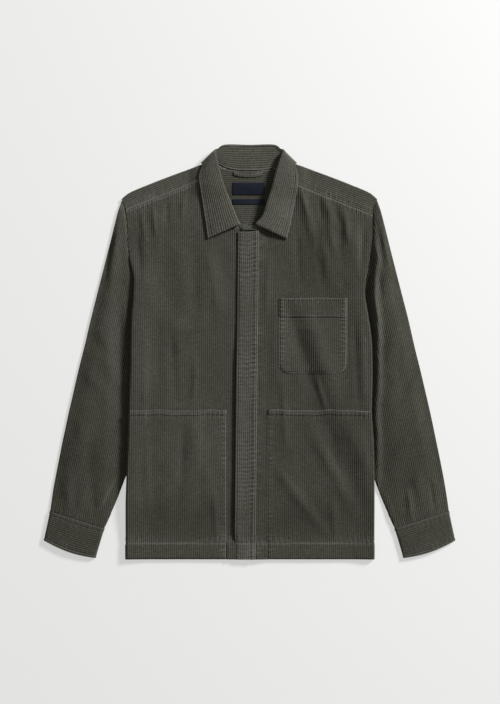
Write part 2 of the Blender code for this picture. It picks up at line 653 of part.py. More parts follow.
def turned(sign, front, back):
    """Stations round the crease at the shoulder, each point on half an ellipse from front to back."""
    first, last = np.array(front[1:], float), np.array(back[1:], float)
    made = []
    for k in range(1, TURN_STEPS):
        angle = math.pi * k / TURN_STEPS
        row = first + (last - first) * (1 - math.cos(angle)) / 2
        for point, (way_x, way_y) in enumerate(TURN_WAYS):
            bulge = abs(first[3 * point + 2] - last[3 * point + 2]) / 2 * math.sin(angle)
            row[3 * point] += sign * way_x * bulge
            row[3 * point + 1] += way_y * bulge
        row[9:12] = sign * math.sin(angle), 0.0, math.cos(angle)
        made.append(row)
    return made


def roll_facing(rows, side):
    """Direction across the roll line at each station, away from the cloth."""
    along = np.gradient(np.array([row[3:5] for row in rows]), axis=0)
    along /= np.linalg.norm(along, axis=1)[:, None]
    return [np.array([side * ty, -side * tx, 0.0]) for tx, ty in along]


def between(first, last):
    """Directions that turn from the first to the last, without either."""
    steps = [first + (last - first) * k / TURN_STEPS for k in range(1, TURN_STEPS)]
    return [step / np.linalg.norm(step) for step in steps]


def collar_frames(front_end=()):
    """Neckline point, middle of the roll, leaf edge and directions at each station."""
    left = spline(COLLAR_LEFT, STEPS_PER_SECTION)
    back = spline(COLLAR_BACK, STEPS_PER_SECTION)
    right = spline(COLLAR_RIGHT + list(front_end), STEPS_PER_SECTION)
    left_turn = turned(-1, COLLAR_LEFT[-1], COLLAR_BACK[0])
    right_turn = turned(1, COLLAR_RIGHT[0], COLLAR_BACK[-1])[::-1]
    left_up, back_up, right_up = roll_facing(left, 1), roll_facing(back, -1), roll_facing(right, 1)
    ups = left_up + between(left_up[-1], back_up[0]) + back_up + between(back_up[-1], right_up[0]) + right_up
    frames = []
    for row, up in zip(left + left_turn + back + right_turn + right, ups):
        neck, roll, leaf, out = row[0:3], row[3:6], row[6:9], row[9:12]
        out = out - up * np.dot(out, up)
        out = out / np.linalg.norm(out)
        if out[2] > FLAT_ABOVE:
            on_front = body_top(leaf[0], leaf[1]) + LEAF / 2 + LEAF_CLEAR
            leaf = np.array([leaf[0], leaf[1], on_front])
        centre = roll - up * (ROLL_RADIUS + LEAF / 2)
        frames.append((neck, centre, leaf, up, out))
    return frames


LEAF_ARC_STEPS, LEAF_RUN_STEPS, STAND_STEPS = 4, 3, 2


def make_collar():
    """Stand and leaf as one band that turns over at the roll and lies round the neck."""
    leaf_rows = []
    for neck, centre, leaf, up, out in collar_frames():
        row = []
        for k in range(LEAF_ARC_STEPS + 1):
            angle = lerp(ROLL_SEAM_ANGLE, math.pi, k / LEAF_ARC_STEPS)
            row.append(centre - out * ROLL_RADIUS * math.cos(angle) + up * ROLL_RADIUS * math.sin(angle))
        start = row[-1]
        for k in range(1, LEAF_RUN_STEPS + 1):
            t = k / LEAF_RUN_STEPS
            point = start + (leaf - start) * t
            clear = body_top(point[0], point[1]) + LEAF / 2 + LEAF_CLEAR
            swell = LEAF_SWELL * math.sin(math.pi * t) * max(out[2], 0.0)
            height = point[2] + swell
            if out[2] > FLAT_ABOVE:
                height = max(height, clear)
            row.append(np.array([point[0], point[1], height]))
        leaf_rows.append(row)
    sheet("collar_leaf", leaf_rows, LEAF, middle=True)
    stand_rows = []
    for neck, centre, leaf, up, out in collar_frames([STAND_END]):
        top = centre - out * ROLL_RADIUS - up * STAND_SHORT
        stand_rows.append([neck + (top - neck) * k / STAND_STEPS for k in range(STAND_STEPS + 1)])
    sheet("collar_stand", stand_rows, STAND, middle=True)


def yoke_inside(x, y):
    """Height of the yoke's inner face, which shows through the neck."""
    levels = [lerp(YOKE_SEAM_Y, BACK_NECK[0].y, fraction) for fraction in YOKE_BACK_FRACTIONS]
    return CLOTH + float(np.interp(y, levels, [neck_lift(x, level) for level in levels]))


def make_label(name, left, right, bottom, top):
    """Bare woven label on the inside of the yoke."""
    xs = [lerp(left, right, k / 4) for k in range(5)]
    ys = [lerp(top, bottom, k / 2) for k in range(3)]
    rows = [[(x, y, yoke_inside(x, y) + LABEL + LAY_GAP) for x in xs] for y in ys]
    sheet(name, rows, LABEL, colour=NAVY, flip=True)


def make_hanger_loop():
    """Narrow self-cloth loop at the back neck, slack between its two ends."""
    half_length, width, slack = 26.0, 6.0, 4.0
    rows = []
    for offset in (0.0, -width):
        row = []
        for k in range(9):
            x = lerp(-half_length, half_length, k / 8)
            y = BACK_NECK[0].y - 1.2 - slack * (1 - (x / half_length) ** 2) + offset
            row.append((x - 2.0, y, yoke_inside(x, y) + 1.4 + LAY_GAP))
        rows.append(row)
    sheet("hanger_loop", rows, 1.4, flip=True)


for old in list(bpy.data.objects):
    bpy.data.objects.remove(old, do_unlink=True)
PARTS = bpy.data.collections.new("Shacket")
bpy.context.scene.collection.children.link(PARTS)

make_back()
make_yoke()
make_fronts()
make_chest_pocket()
for SIGN in (-1, 1):
    make_sleeve(SIGN)
    make_cuff(SIGN)
make_collar()
make_label("neck_label", -30.0, 27.0, 284.0, 306.0)
make_label("size_label", -30.0, 27.0, 267.0, 276.0)
make_hanger_loop()
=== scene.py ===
# %% [markdown]
# # A corduroy shacket laid flat
# The garment lies front up on a pale surface and is seen from straight above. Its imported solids
# are the frame. Each cut piece gets a thin skin on its solid's form, with real cords, seam
# allowances, creases and stitches.

import math
from collections import namedtuple

import bmesh
import bpy
import numpy as np
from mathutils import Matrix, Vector


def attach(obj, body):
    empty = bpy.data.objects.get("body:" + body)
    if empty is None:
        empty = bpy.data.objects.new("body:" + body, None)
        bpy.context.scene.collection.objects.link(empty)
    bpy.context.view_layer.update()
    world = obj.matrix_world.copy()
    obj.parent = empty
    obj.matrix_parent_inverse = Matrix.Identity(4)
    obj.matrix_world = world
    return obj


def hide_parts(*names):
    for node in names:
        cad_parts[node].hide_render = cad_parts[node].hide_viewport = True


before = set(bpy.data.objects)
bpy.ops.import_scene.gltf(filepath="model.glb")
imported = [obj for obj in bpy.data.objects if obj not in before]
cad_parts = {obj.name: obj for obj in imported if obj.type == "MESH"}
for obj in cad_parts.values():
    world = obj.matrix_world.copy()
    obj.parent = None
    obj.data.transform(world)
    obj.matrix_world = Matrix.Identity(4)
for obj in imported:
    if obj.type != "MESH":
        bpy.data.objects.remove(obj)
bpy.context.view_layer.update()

# %% [markdown]
# The scene reads nothing but the frame, so the garment's own sizes are repeated here. They are in
# millimetres, with X across, Y from hem to collar and Z up. Left is -X, as seen from above.

# %% Sizes of the garment
CLOTH, LEAF, STAND, CUFF_WALL, LABEL = 1.5, 2.0, 1.3, 2.6, 0.7
HEM_Y, YOKE_SEAM_Y = -374.5, 217.0
STACK, FOLD_RADIUS, SIDE_RADIUS, OVERLAP_RISE = 4.5, 2.2, 3.2, 2.25
FLY_EDGE_X, EDGE_CURL, SIDE_SWELL = 14.0, 2.6, 6.0
SWELL_SHARE = {-1: 1.0, 1: 0.5}     # the body's right side is flatter than its left
TUCK_HEIGHT, SLEEVE_FLAT, SLEEVE_CROWN, SLEEVE_EDGE_RADIUS = 4.5, 4.0, 4.2, 2.0
CROWN_START, RIDGE_WIDTH = {-1: 14, 1: 6}, 5.5
CUFF_RADIUS, CUFF_CROWN, CUFF_BOW = 3.4, 1.0, 5.5
ROLL_RADIUS, NECK_LIFT, ROLL_SEAM_ANGLE, STAND_SHORT = 2.2, 4.3, 0.6, 0.5
LAY_GAP, LEAF_CLEAR, SEAM_GAP = 0.45, 1.3, 0.3
CHEST_LEFT_X, CHEST_RIGHT_X, CHEST_TOP_Y, CHEST_BOTTOM_Y, CHEST_CORNER = 52.0, 176.0, 97.0, -39.0, 20.0
CHEST_BAND = 35.0
LOWER_TOP_Y, LOWER_LEFT_INNER_X, LOWER_RIGHT_INNER_X = -105.0, -41.0, 32.0

Side = namedtuple("Side", "y left right")
SIDES = [
    Side(273, 231, 231), Side(262, 224.5, 225), Side(248, 222, 223), Side(212, 220, 223),
    Side(185, 218, 220), Side(160, 214, 216), Side(145, 211, 213), Side(130, 209, 210),
    Side(105, 210, 208.5), Side(80, 212, 212), Side(50, 213.5, 217), Side(15, 214.5, 221),
    Side(-40, 215.5, 222), Side(-105, 218, 220.5), Side(-160, 220, 224),
    Side(-232, 222.5, 225.5), Side(-290, 224, 226), Side(-374.5, 224, 225.5),
]
Inset = namedtuple("Inset", "y inset")
SEAM_INSETS = [
    Inset(273, 0), Inset(131, 0), Inset(120, 3), Inset(94, 17), Inset(62, 43), Inset(40, 69),
    Inset(13, 56), Inset(-24, 37), Inset(-60, 28), Inset(-120, 25), Inset(-374.5, 22),
]
Fold = namedtuple("Fold", "name x0 y0 x1 y1 height width")
FRONT_FOLDS = [
    Fold("through the chest pocket", 92, 104, 164, -112, 4.8, 17),
    Fold("beside the chest pocket", 30, 150, 48, -60, 2.4, 14),
    Fold("from the collar to the pocket", 84, 300, 158, 108, 5.2, 11),
    Fold("below the right yoke", 130, 286, 168, 206, 3.2, 6),
    Fold("right yoke, outer", 164, 268, 182, 196, 2.6, 6),
    Fold("at the right armhole", 186, 246, 196, 140, 2.8, 12),
    Fold("right pocket, long", 105, -120, 203, -316, 4.2, 14),
    Fold("right pocket, outer", 168, -112, 226, -226, 3.4, 13),
    Fold("right pocket, low", 45, -205, 150, -345, 3.0, 11),
    Fold("right pocket, inner", 56, -120, 66, -250, 1.4, 10),
    Fold("below the left yoke", -172, 262, -166, 180, 2.4, 10),
    Fold("left chest", -128, 230, -122, 20, 2.2, 18),
    Fold("left front edge", -74, 200, -44, 40, 2.6, 13),
    Fold("left armhole", -196, 236, -188, 120, 2.2, 12),
    Fold("left lower front", -150, -60, -158, -330, 2.4, 18),
    Fold("left pocket", -104, -120, -62, -300, 2.6, 14),
]
SLEEVE_FOLDS = [
    Fold("right elbow", 272, 60, 236, -40, 2.6, 12),
    Fold("right forearm", 318, -112, 262, -190, 2.2, 12),
    Fold("right sleeve head", 238, 236, 258, 130, 2.4, 10),
    Fold("right wrist", 300, -214, 312, -284, 2.0, 10),
    Fold("left elbow", -268, 40, -238, -70, 2.6, 12),
    Fold("left forearm", -298, -110, -312, -230, 2.0, 12),
    Fold("left sleeve head", -234, 232, -254, 120, 2.2, 10),
    Fold("left wrist", -292, -220, -306, -286, 2.0, 10),
]

Ridge = namedtuple("Ridge", "y beside height")
RIDGE = [      # the right sleeve swells beside the body; the heights are chosen for its shadow
    Ridge(262, 5, 0), Ridge(240, 5, 1.2), Ridge(212, 5, 3.0), Ridge(188, 8, 6.0), Ridge(166, 14, 10.0),
    Ridge(120, 17, 11.0), Ridge(76, 16, 10.2), Ridge(40, 13, 8.4), Ridge(0, 11, 7.4), Ridge(-60, 11, 7.0),
    Ridge(-110, 9, 5.4), Ridge(-160, 8, 4.6), Ridge(-214, 6, 3.0), Ridge(-262, 4, 0),
]

# %% Sleeve, cuff, yoke and neck sizes
Inner = namedtuple("Inner", "y x")
SLEEVE_INNER = [
    Inner(40, 143), Inner(-14, 149), Inner(-87, 167), Inner(-159, 193), Inner(-229, 225),
    Inner(-250, 233), Inner(-268, 240), Inner(-282, 246), Inner(-299, 253), Inner(-318, 262),
]
Outer = namedtuple("Outer", "y x")
SLEEVE_OUTER = [
    Outer(273, 231), Outer(262, 235.5), Outer(230, 244), Outer(186, 255), Outer(143, 266),
    Outer(100, 277), Outer(56, 288), Outer(13, 298), Outer(-31, 309), Outer(-74, 319),
    Outer(-118, 329), Outer(-161, 338), Outer(-205, 347), Outer(-248, 355), Outer(-287, 360.5),
]
Corner = namedtuple("Corner", "x y")
CUFF_SEAM_OUTER, CUFF_SEAM_INNER = Corner(360.5, -287), Corner(262, -318)
CUFF_EDGE_OUTER, CUFF_EDGE_INNER = Corner(372, -340), Corner(278, -372)
Shoulder = namedtuple("Shoulder", "x fold")
SHOULDERS = [
    Shoulder(229, 277), Shoulder(217, 287), Shoulder(183, 302), Shoulder(145, 317),
    Shoulder(109, 330.5), Shoulder(89, 337.5), Shoulder(66, 345.5),
]
NECK_SIDE_X = 66.0
YOKE_SEAM_AT_NECK = {"left": 318.5, "right": 311.0}
YOKE_SEAM_FALL = 0.402
Neck = namedtuple("Neck", "x y")
FRONT_NECK = [Neck(0, 217), Neck(14, 220), Neck(32, 238), Neck(52, 266), Neck(66, 314)]
BACK_NECK = [Neck(0, 326.5), Neck(16, 327), Neck(32, 328.5), Neck(48, 332), Neck(57, 337.5), Neck(66, 345.5)]

# %% Collar sections
Section = namedtuple("Section", "name nx ny nz rx ry rz lx ly lz ox oy oz")
COLLAR_LEFT = [
    Section("left front", -27, 223, 6.8, -16.5, 231, 9.8, -75.5, 205, 7, 0, 0, 1),
    Section("left lower", -33, 241, 6.4, -24, 248, 10.0, -79.5, 232, 7, 0, 0, 1),
    Section("left middle", -51.5, 269, 6.6, -35, 275, 10.2, -84, 262, 7, 0, 0, 1),
    Section("left upper", -59, 294, 8.2, -45, 301, 11.0, -88.5, 292, 8, 0, 0, 1),
    Section("left side", -64.5, 320, 9.0, -53, 328, 12.2, -91.5, 318, 11, 0, 0, 1),
    Section("left shoulder", -63, 341, 9.8, -60, 357, 12.2, -85, 337, 11.2, 0, 0, 1),
]
COLLAR_BACK = [
    Section("left back", -61, 342, 6.0, -59, 366.6, 4.4, -82, 339, 1.5, 0, 0, -1),
    Section("left back neck", -34, 330.5, 6.0, -44, 375, 3.8, -50, 324, 1.5, 0, 0, -1),
    Section("centre back", 0, 328, 6.0, 0, 374.5, 3.8, 0, 313, 1.5, 0, 0, -1),
    Section("right back neck", 34, 330.5, 6.0, 44, 375, 3.8, 50, 324, 1.5, 0, 0, -1),
    Section("right back", 61, 342, 6.0, 57.5, 366.6, 4.4, 80, 339, 1.5, 0, 0, -1),
]
COLLAR_RIGHT = [
    Section("right shoulder", 63, 341, 9.8, 57, 357, 13.7, 83, 337, 11.2, 0, 0, 1),
    Section("right side", 64.5, 318, 9.0, 47, 327, 15.2, 88.5, 315, 11, 0, 0, 1),
    Section("right upper", 59.2, 292, 8.2, 40, 299, 14.6, 86, 290, 8, 0, 0, 1),
    Section("right middle", 50.5, 268, 6.6, 32, 274, 13.6, 80, 259, 7, 0, 0, 1),
    Section("right lower", 33, 241, 6.6, 23.5, 248, 12.2, 73.5, 227, 7, 0, 0, 1),
    Section("right front", 19, 222, 8.2, 10, 231.5, 11.2, 67.5, 204.5, 8, 0, 0, 1),
]
STAND_END = Section("overlap of the stand", -12.5, 220, 8.0, -12.5, 237.5, 11.0, 0, 0, 0, 0, 0, 1)
TURN_STEPS = 6
TURN_WAYS = ((1.0, 0.0), (0.85, 0.53), (0.65, 0.76))
print("collar sections:", len(COLLAR_LEFT + COLLAR_BACK + COLLAR_RIGHT))

# %% [markdown]
# A curve that never overshoots reads the tables. It keeps side seams and shoulders fair between
# the few places that were measured, and the same curve later makes fine skins out of coarse rows.

# %% Reading the tables
def smooth(t):
    """Ease from 0 to 1."""
    t = np.clip(t, 0.0, 1.0)
    return t * t * (3.0 - 2.0 * t)


def ramp(value, start, end):
    return smooth((value - start) / (end - start))


def lerp(a, b, t):
    return a + (b - a) * t


def fair(at, values, wanted):
    """Values given at some places, read at others, on a curve that doesn't overshoot."""
    at, values = np.asarray(at, float), np.asarray(values, float)
    width = np.diff(at)[:, None]
    slope = np.diff(values, axis=0) / width
    tangent = np.zeros_like(values)
    before, after = slope[:-1], slope[1:]
    same = before * after > 0
    total = np.where(same, before + after, 1.0)
    tangent[1:-1] = np.where(same, 2 * before * after / total, 0.0)
    tangent[0], tangent[-1] = slope[0], slope[-1]
    wanted = np.clip(wanted, at[0], at[-1])
    k = np.clip(np.searchsorted(at, wanted, side="right") - 1, 0, len(at) - 2)
    t = ((wanted - at[k]) / width[k, 0])[:, None]
    return (
        (2 * t**3 - 3 * t**2 + 1) * values[k]
        + (t**3 - 2 * t**2 + t) * width[k] * tangent[k]
        + (3 * t**2 - 2 * t**3) * values[k + 1]
        + (t**3 - t**2) * width[k] * tangent[k + 1]
    )


def read(rows, key, column, value):
    """One value of a table's column."""
    rows = sorted(rows, key=lambda row: getattr(row, key))
    at = [getattr(row, key) for row in rows]
    of = [[getattr(row, column)] for row in rows]
    return float(fair(at, of, np.array([value], float))[0, 0])


SIDE_STEPS = np.arange(HEM_Y, 274, 0.5)
SIDE_CURVES = {}
for name in ("left", "right"):
    rows = sorted(SIDES, key=lambda row: row.y)
    SIDE_CURVES[name] = fair([r.y for r in rows], [[getattr(r, name)] for r in rows], SIDE_STEPS)[:, 0]
rows = sorted(SEAM_INSETS, key=lambda row: row.y)
INSET_CURVE = fair([r.y for r in rows], [[r.inset] for r in rows], SIDE_STEPS)[:, 0]


def side_name(sign):
    return "right" if sign > 0 else "left"


def side_x(sign, y):
    """Distance of the visible side of the body from the centre line."""
    return float(np.interp(y, SIDE_STEPS, SIDE_CURVES[side_name(sign)]))


def seam_x(sign, y):
    """Distance of the armhole seam and, below it, of the hidden side seam."""
    return side_x(sign, y) - float(np.interp(y, SIDE_STEPS, INSET_CURVE))


def yoke_seam(sign, x):
    return YOKE_SEAM_AT_NECK[side_name(sign)] - YOKE_SEAM_FALL * (abs(x) - NECK_SIDE_X)


def tuck_x(sign, y):
    """Distance at which the sleeve beneath the body starts."""
    return seam_x(sign, y) if y > SLEEVE_INNER[0].y else read(SLEEVE_INNER, "y", "x", y)


def neck_lift(x, y):
    """How far the yoke rises over the back of the collar leaf."""
    return NECK_LIFT * (1 - ramp(abs(x), 92, 112)) * ramp(y, 270, 305)


def body_under(sign, x, y):
    start = tuck_x(sign, y)
    return TUCK_HEIGHT * ramp(abs(x), start - 28, start - 9)


print("half width at the hem:", side_x(1, HEM_Y), "mm")

# %% [markdown]
# Folds are soft ridges along a line. Each fades towards its two ends and falls off to its sides.
# The same sum gives the height of any point, so a pocket rises with the front beneath it.

# %% Heights of the laid cloth
def fold_height(folds, x, y):
    """Sum of soft ridges. x and y may be numbers or arrays."""
    total = 0.0
    for fold in folds:
        dx, dy = fold.x1 - fold.x0, fold.y1 - fold.y0
        length = math.hypot(dx, dy)
        along = ((x - fold.x0) * dx + (y - fold.y0) * dy) / length
        across = ((x - fold.x0) * dy - (y - fold.y0) * dx) / length
        fade = ramp(along, -0.1 * length, 0.3 * length) * ramp(along, 1.1 * length, 0.6 * length)
        total = total + fold.height * fade * np.exp(-((across / fold.width) ** 2))
    return total


def body_top(x, y):
    """Height of the fronts' outer face."""
    sign = 1 if x > 0 else -1
    edge, start = side_x(sign, y), tuck_x(sign, y)
    low = ramp(y, 190, 120)
    over_sleeve = TUCK_HEIGHT * ramp(abs(x), start - 62, start - 9) * low
    roll = (2 * SIDE_RADIUS - STACK) * ramp(abs(x), edge - 48, edge - SIDE_RADIUS) * low
    calm_side = 1 - ramp(abs(x), edge - 14, edge - SIDE_RADIUS)
    calm_hem = ramp(y, HEM_Y, HEM_Y + 60)
    folds = 0.62 * fold_height(FRONT_FOLDS, x, y) * calm_side * (0.35 + 0.65 * calm_hem)
    swollen = (SIDE_SWELL * SWELL_SHARE[sign] * ramp(y, 130, 30) * (1 - 0.5 * ramp(y, -40, -150))
               * ramp(y, -374, -250) * ramp(abs(x), edge - 55, edge - 8))
    return STACK + neck_lift(x, y) + over_sleeve + roll + folds + swollen


def right_front_top(x, y):
    """The right front lies over the left one, and its free edge curls up a little."""
    curl = EDGE_CURL * ramp(y, 60, -40) * ramp(y, -348, -318) - 0.9 * ramp(y, -318, -350)
    curl = curl * (1 - ramp(x, -26, 0))
    return body_top(x, y) + OVERLAP_RISE * (1 - ramp(x, FLY_EDGE_X + 1, FLY_EDGE_X + 22)) + curl


def sleeve_top(sign, x, y, outer_distance):
    beside = abs(x) - side_x(sign, y)
    base = SLEEVE_FLAT + 0.8 * ramp(y, 122, 146)
    crown = SLEEVE_CROWN * ramp(beside, CROWN_START[sign], 44) * ramp(outer_distance, 0, 34)
    folds = fold_height(SLEEVE_FOLDS, x, y) * ramp(beside, 3, 20) * ramp(outer_distance, 0, 16)
    calm_cuff = ramp(y, -318, -285)
    ridge = 0.0
    if sign > 0:
        place, height = read(RIDGE, "y", "beside", y), read(RIDGE, "y", "height", y)
        ridge = height * math.exp(-(((beside - place) / RIDGE_WIDTH) ** 2))
    base = base - 1.2 * ramp(beside, 10, 2) * ramp(y, -262, -190)
    from_cuff = y - CUFF_SEAM_OUTER.y + (CUFF_SEAM_OUTER.x - abs(x)) * 0.315
    base = base + 0.9 * ramp(from_cuff, 30, 2)
    return base + crown * (0.4 + 0.6 * calm_cuff) + folds * calm_cuff + ridge


print("height in the middle of the right front:", round(right_front_top(110, 0), 2), "mm")

# %% [markdown]
# Every panel starts as rows of points across its solid's outer face. They are the rows of the
# solids, only closer, so the skin keeps the solid's form. Beside each point stands its place
# across the cords in millimetres, because the cords must run straight through the cloth however
# the panel's edges slant.

# %% Rows of the fronts
TOP_FRACTIONS = list(np.linspace(0, 1, 16)[:-1])
LOWER_END_Y = HEM_Y + 2
LEVELS = list(np.linspace(CHEST_TOP_Y, LOWER_TOP_Y, 15)) + list(np.linspace(LOWER_TOP_Y, LOWER_END_Y, 21)[1:])
LEVELS += [HEM_Y]
LEFT_COLUMNS = [4.0, -12.0, -27.0, -41.0] + list(np.linspace(-50, -163, 12))
RIGHT_COLUMNS = [-24.0, -5.0, 14.0, 20.0, 26.0, 32.0, 42.0, 52.0] + list(np.linspace(62, 176, 13))
OUTER_FRACTIONS = [0.25, 0.5, 0.75, 0.9, 1.0]
ROLL_ARC_STEPS, ROLL_RETURN_STEPS = 8, 3
EDGE_LEAN = 0.0107     # the front edge leans this much from the vertical
EDGE_LEAN_Y = -78.0


def lean(x, y):
    """How far the front edge and fly strip lean, fading out on the front."""
    return EDGE_LEAN * (y - EDGE_LEAN_Y) * (1 - ramp(x, FLY_EDGE_X + 2, FLY_EDGE_X + 40))


def front_top_edge(sign, x):
    """Upper edge of a front: the neckline, then the yoke seam."""
    distance = abs(x) if x * sign > 0 else 0.0
    if distance < FRONT_NECK[-1].x:
        return read(FRONT_NECK, "x", "y", distance)
    return yoke_seam(sign, x) - SEAM_GAP


def front_column(sign, columns, index, y):
    if index < len(columns):
        return columns[index]
    limit = sign * (side_x(sign, y) - SIDE_RADIUS)
    return lerp(columns[-1], limit, OUTER_FRACTIONS[index - len(columns)])


def rolled_side(sign, y, top, level):
    """Points from the start of the rolled side to the hidden seam, with their arc lengths."""
    edge = side_x(sign, y)
    start = edge - SIDE_RADIUS
    rolled = ramp(y, 165.0, 98.0)
    beneath = body_under(sign, start, y) if y < SLEEVE_INNER[0].y else TUCK_HEIGHT
    half = (top - beneath) / 2
    turn = rolled * math.pi
    arc_length = rolled * math.pi * SIDE_RADIUS
    inset = edge - SEAM_GAP - seam_x(sign, y)
    straight = (1 - rolled) * (SIDE_RADIUS - SEAM_GAP) + rolled**2 * max(inset - SIDE_RADIUS, 3.0)
    first = arc_length + (1 - rolled) * 0.55 * straight
    whole = arc_length + straight
    lengths = [first * k / ROLL_ARC_STEPS for k in range(1, ROLL_ARC_STEPS + 1)]
    lengths += [lerp(first, whole, k / ROLL_RETURN_STEPS) for k in range(1, ROLL_RETURN_STEPS + 1)]
    points = []
    for length in lengths:
        angle = turn * min(length / arc_length, 1.0) if arc_length > 0 else 0.0
        beyond = max(length - arc_length, 0.0)
        x = start + SIDE_RADIUS * math.sin(angle) + beyond * math.cos(angle)
        z = top - half * (1 - math.cos(angle)) - beyond * math.sin(angle)
        if y > SLEEVE_INNER[0].y:
            z = max(z, TUCK_HEIGHT * ramp(y, 130.0, 122.0))
        elif beyond > 0:
            z = body_under(sign, x, y)
        points.append((sign * x, level(sign * x, y), z))
    return points, lengths


def front_rows(sign, columns, height, below=None):
    """Outer face of a front, from its top edge (or from a level) down to the hem."""
    lines = [("top", fraction) for fraction in TOP_FRACTIONS] + [("level", y) for y in LEVELS]
    rows, across = [], []
    for kind, value in lines:
        if below is not None and (kind == "top" or value > below + 0.01):
            continue
        row, places = [], []
        for index in range(len(columns) + len(OUTER_FRACTIONS)):
            y = value if kind == "level" else CHEST_TOP_Y
            x = front_column(sign, columns, index, y)
            for _ in range(3 if kind == "top" else 0):
                y = lerp(front_top_edge(sign, x), CHEST_TOP_Y, value)
                x = front_column(sign, columns, index, y)
            row.append((x + (lean(x, y) if sign > 0 else 0.0), y, height(x, y)))
            places.append(abs(x - columns[0]))

        def level(x, y, kind=kind, value=value):
            return lerp(front_top_edge(sign, x), CHEST_TOP_Y, value) if kind == "top" else y

        rolled, lengths = rolled_side(sign, row[-1][1], row[-1][2], level)
        rows.append(row + rolled)
        across.append(places + [places[-1] + length for length in lengths])
    return np.array(rows), np.array(across)


LEFT_FRONT = front_rows(-1, LEFT_COLUMNS, body_top)
RIGHT_FRONT = front_rows(1, RIGHT_COLUMNS, right_front_top)
print("rows and points of the right front:", RIGHT_FRONT[0].shape)

# %% [markdown]
# A pocket or the fly strip lies on its front, so it takes a part of the front's own rows and
# raises them by one cloth and a little air.

# %% Rows of what lies on the fronts
ON_PANEL = CLOTH + LAY_GAP


def patch(panel, first, last, top=None, bottom=None):
    """Part of a front's rows, between two columns and two heights, moved out."""
    rows, across = panel
    heights = rows[:, 0, 1]
    keep = np.ones(len(rows), bool)
    if top is not None:
        keep &= heights <= top + 0.01
    if bottom is not None:
        keep &= heights >= bottom - 0.01
    part = rows[keep][:, first:last + 1].copy()
    part[..., 2] += ON_PANEL
    places = across[keep][:, first:last + 1]
    return part, places


FLY = patch(RIGHT_FRONT, 0, RIGHT_COLUMNS.index(14.0))
POCKET_LEFT = patch(
    LEFT_FRONT, LEFT_COLUMNS.index(LOWER_LEFT_INNER_X), len(LEFT_COLUMNS) + len(OUTER_FRACTIONS) - 1,
    LOWER_TOP_Y, LOWER_END_Y)
POCKET_RIGHT = patch(
    RIGHT_FRONT, RIGHT_COLUMNS.index(LOWER_RIGHT_INNER_X), len(RIGHT_COLUMNS) + len(OUTER_FRACTIONS) - 1,
    LOWER_TOP_Y, LOWER_END_Y)


def chest_rows():
    """Chest pocket with rounded lower corners."""
    corner_top = CHEST_BOTTOM_Y + CHEST_CORNER
    levels = list(np.linspace(CHEST_TOP_Y, CHEST_TOP_Y - CHEST_BAND, 8))
    levels += list(np.linspace(CHEST_TOP_Y - CHEST_BAND, corner_top, 12)[1:])
    levels += [corner_top - CHEST_CORNER * math.sin(math.radians(a)) for a in (15, 30, 45, 58, 70, 80, 90)]
    rows, across = [], []
    for y in levels:
        below = max(corner_top - y, 0.0)
        narrow = CHEST_CORNER - math.sqrt(max(CHEST_CORNER**2 - below**2, 0.0))
        band = 0.5 * ramp(y, CHEST_TOP_Y - CHEST_BAND - 2, CHEST_TOP_Y - CHEST_BAND + 2)
        xs = np.linspace(CHEST_LEFT_X + narrow, CHEST_RIGHT_X - narrow, 22)
        sides = ramp(np.minimum(xs - xs[0], xs[-1] - xs), 0, 7)
        rows.append([(x, y, right_front_top(x, y) + ON_PANEL + band * side) for x, side in zip(xs, sides)])
        across.append(xs - CHEST_LEFT_X)
    return np.array(rows), np.array(across)


CHEST = chest_rows()
print("chest pocket rows:", CHEST[0].shape)

# %% Rows of the back and yoke
BACK_STEPS = list(np.linspace(0, 1, 24))


def back_rows():
    """Back panel, which rests on the surface and rises over the tucked sleeves."""
    levels = list(np.linspace(YOKE_SEAM_Y - SEAM_GAP, -4, 22)) + list(np.linspace(-4, HEM_Y, 24)[1:])
    rows, across = [], []
    for y in levels:
        below_armhole = ramp(y, SLEEVE_INNER[0].y + 16, SLEEVE_INNER[0].y)
        halves = {}
        for sign in (-1, 1):
            limit = seam_x(sign, y) - SEAM_GAP - 0.9 * ramp(y, 0, 30) * ramp(y, 125, 80)
            xs = [limit * f for f in BACK_STEPS]
            halves[sign] = [(sign * x, y, body_under(sign, x, y) * below_armhole) for x in xs]
        row = halves[-1][::-1] + halves[1][1:]
        rows.append(row)
        across.append([point[0] for point in row])
    return np.array(rows), np.array(across)


YOKE_X = [229.0, 223.0, 217.0, 208.0, 200.0, 189.0, 178.0, 167.0, 156.0, 145.0, 134.0, 125.0, 116.0,
          110.0, 104.0, 99.0, 95.0, 90.0, 86.0, 81.0, 76.0, 71.0, 66.0]
YOKE_NECK_X = [61.0, 57.0, 52.0, 48.0, 40.0, 32.0, 24.0, 16.0, 8.0, 0.0]


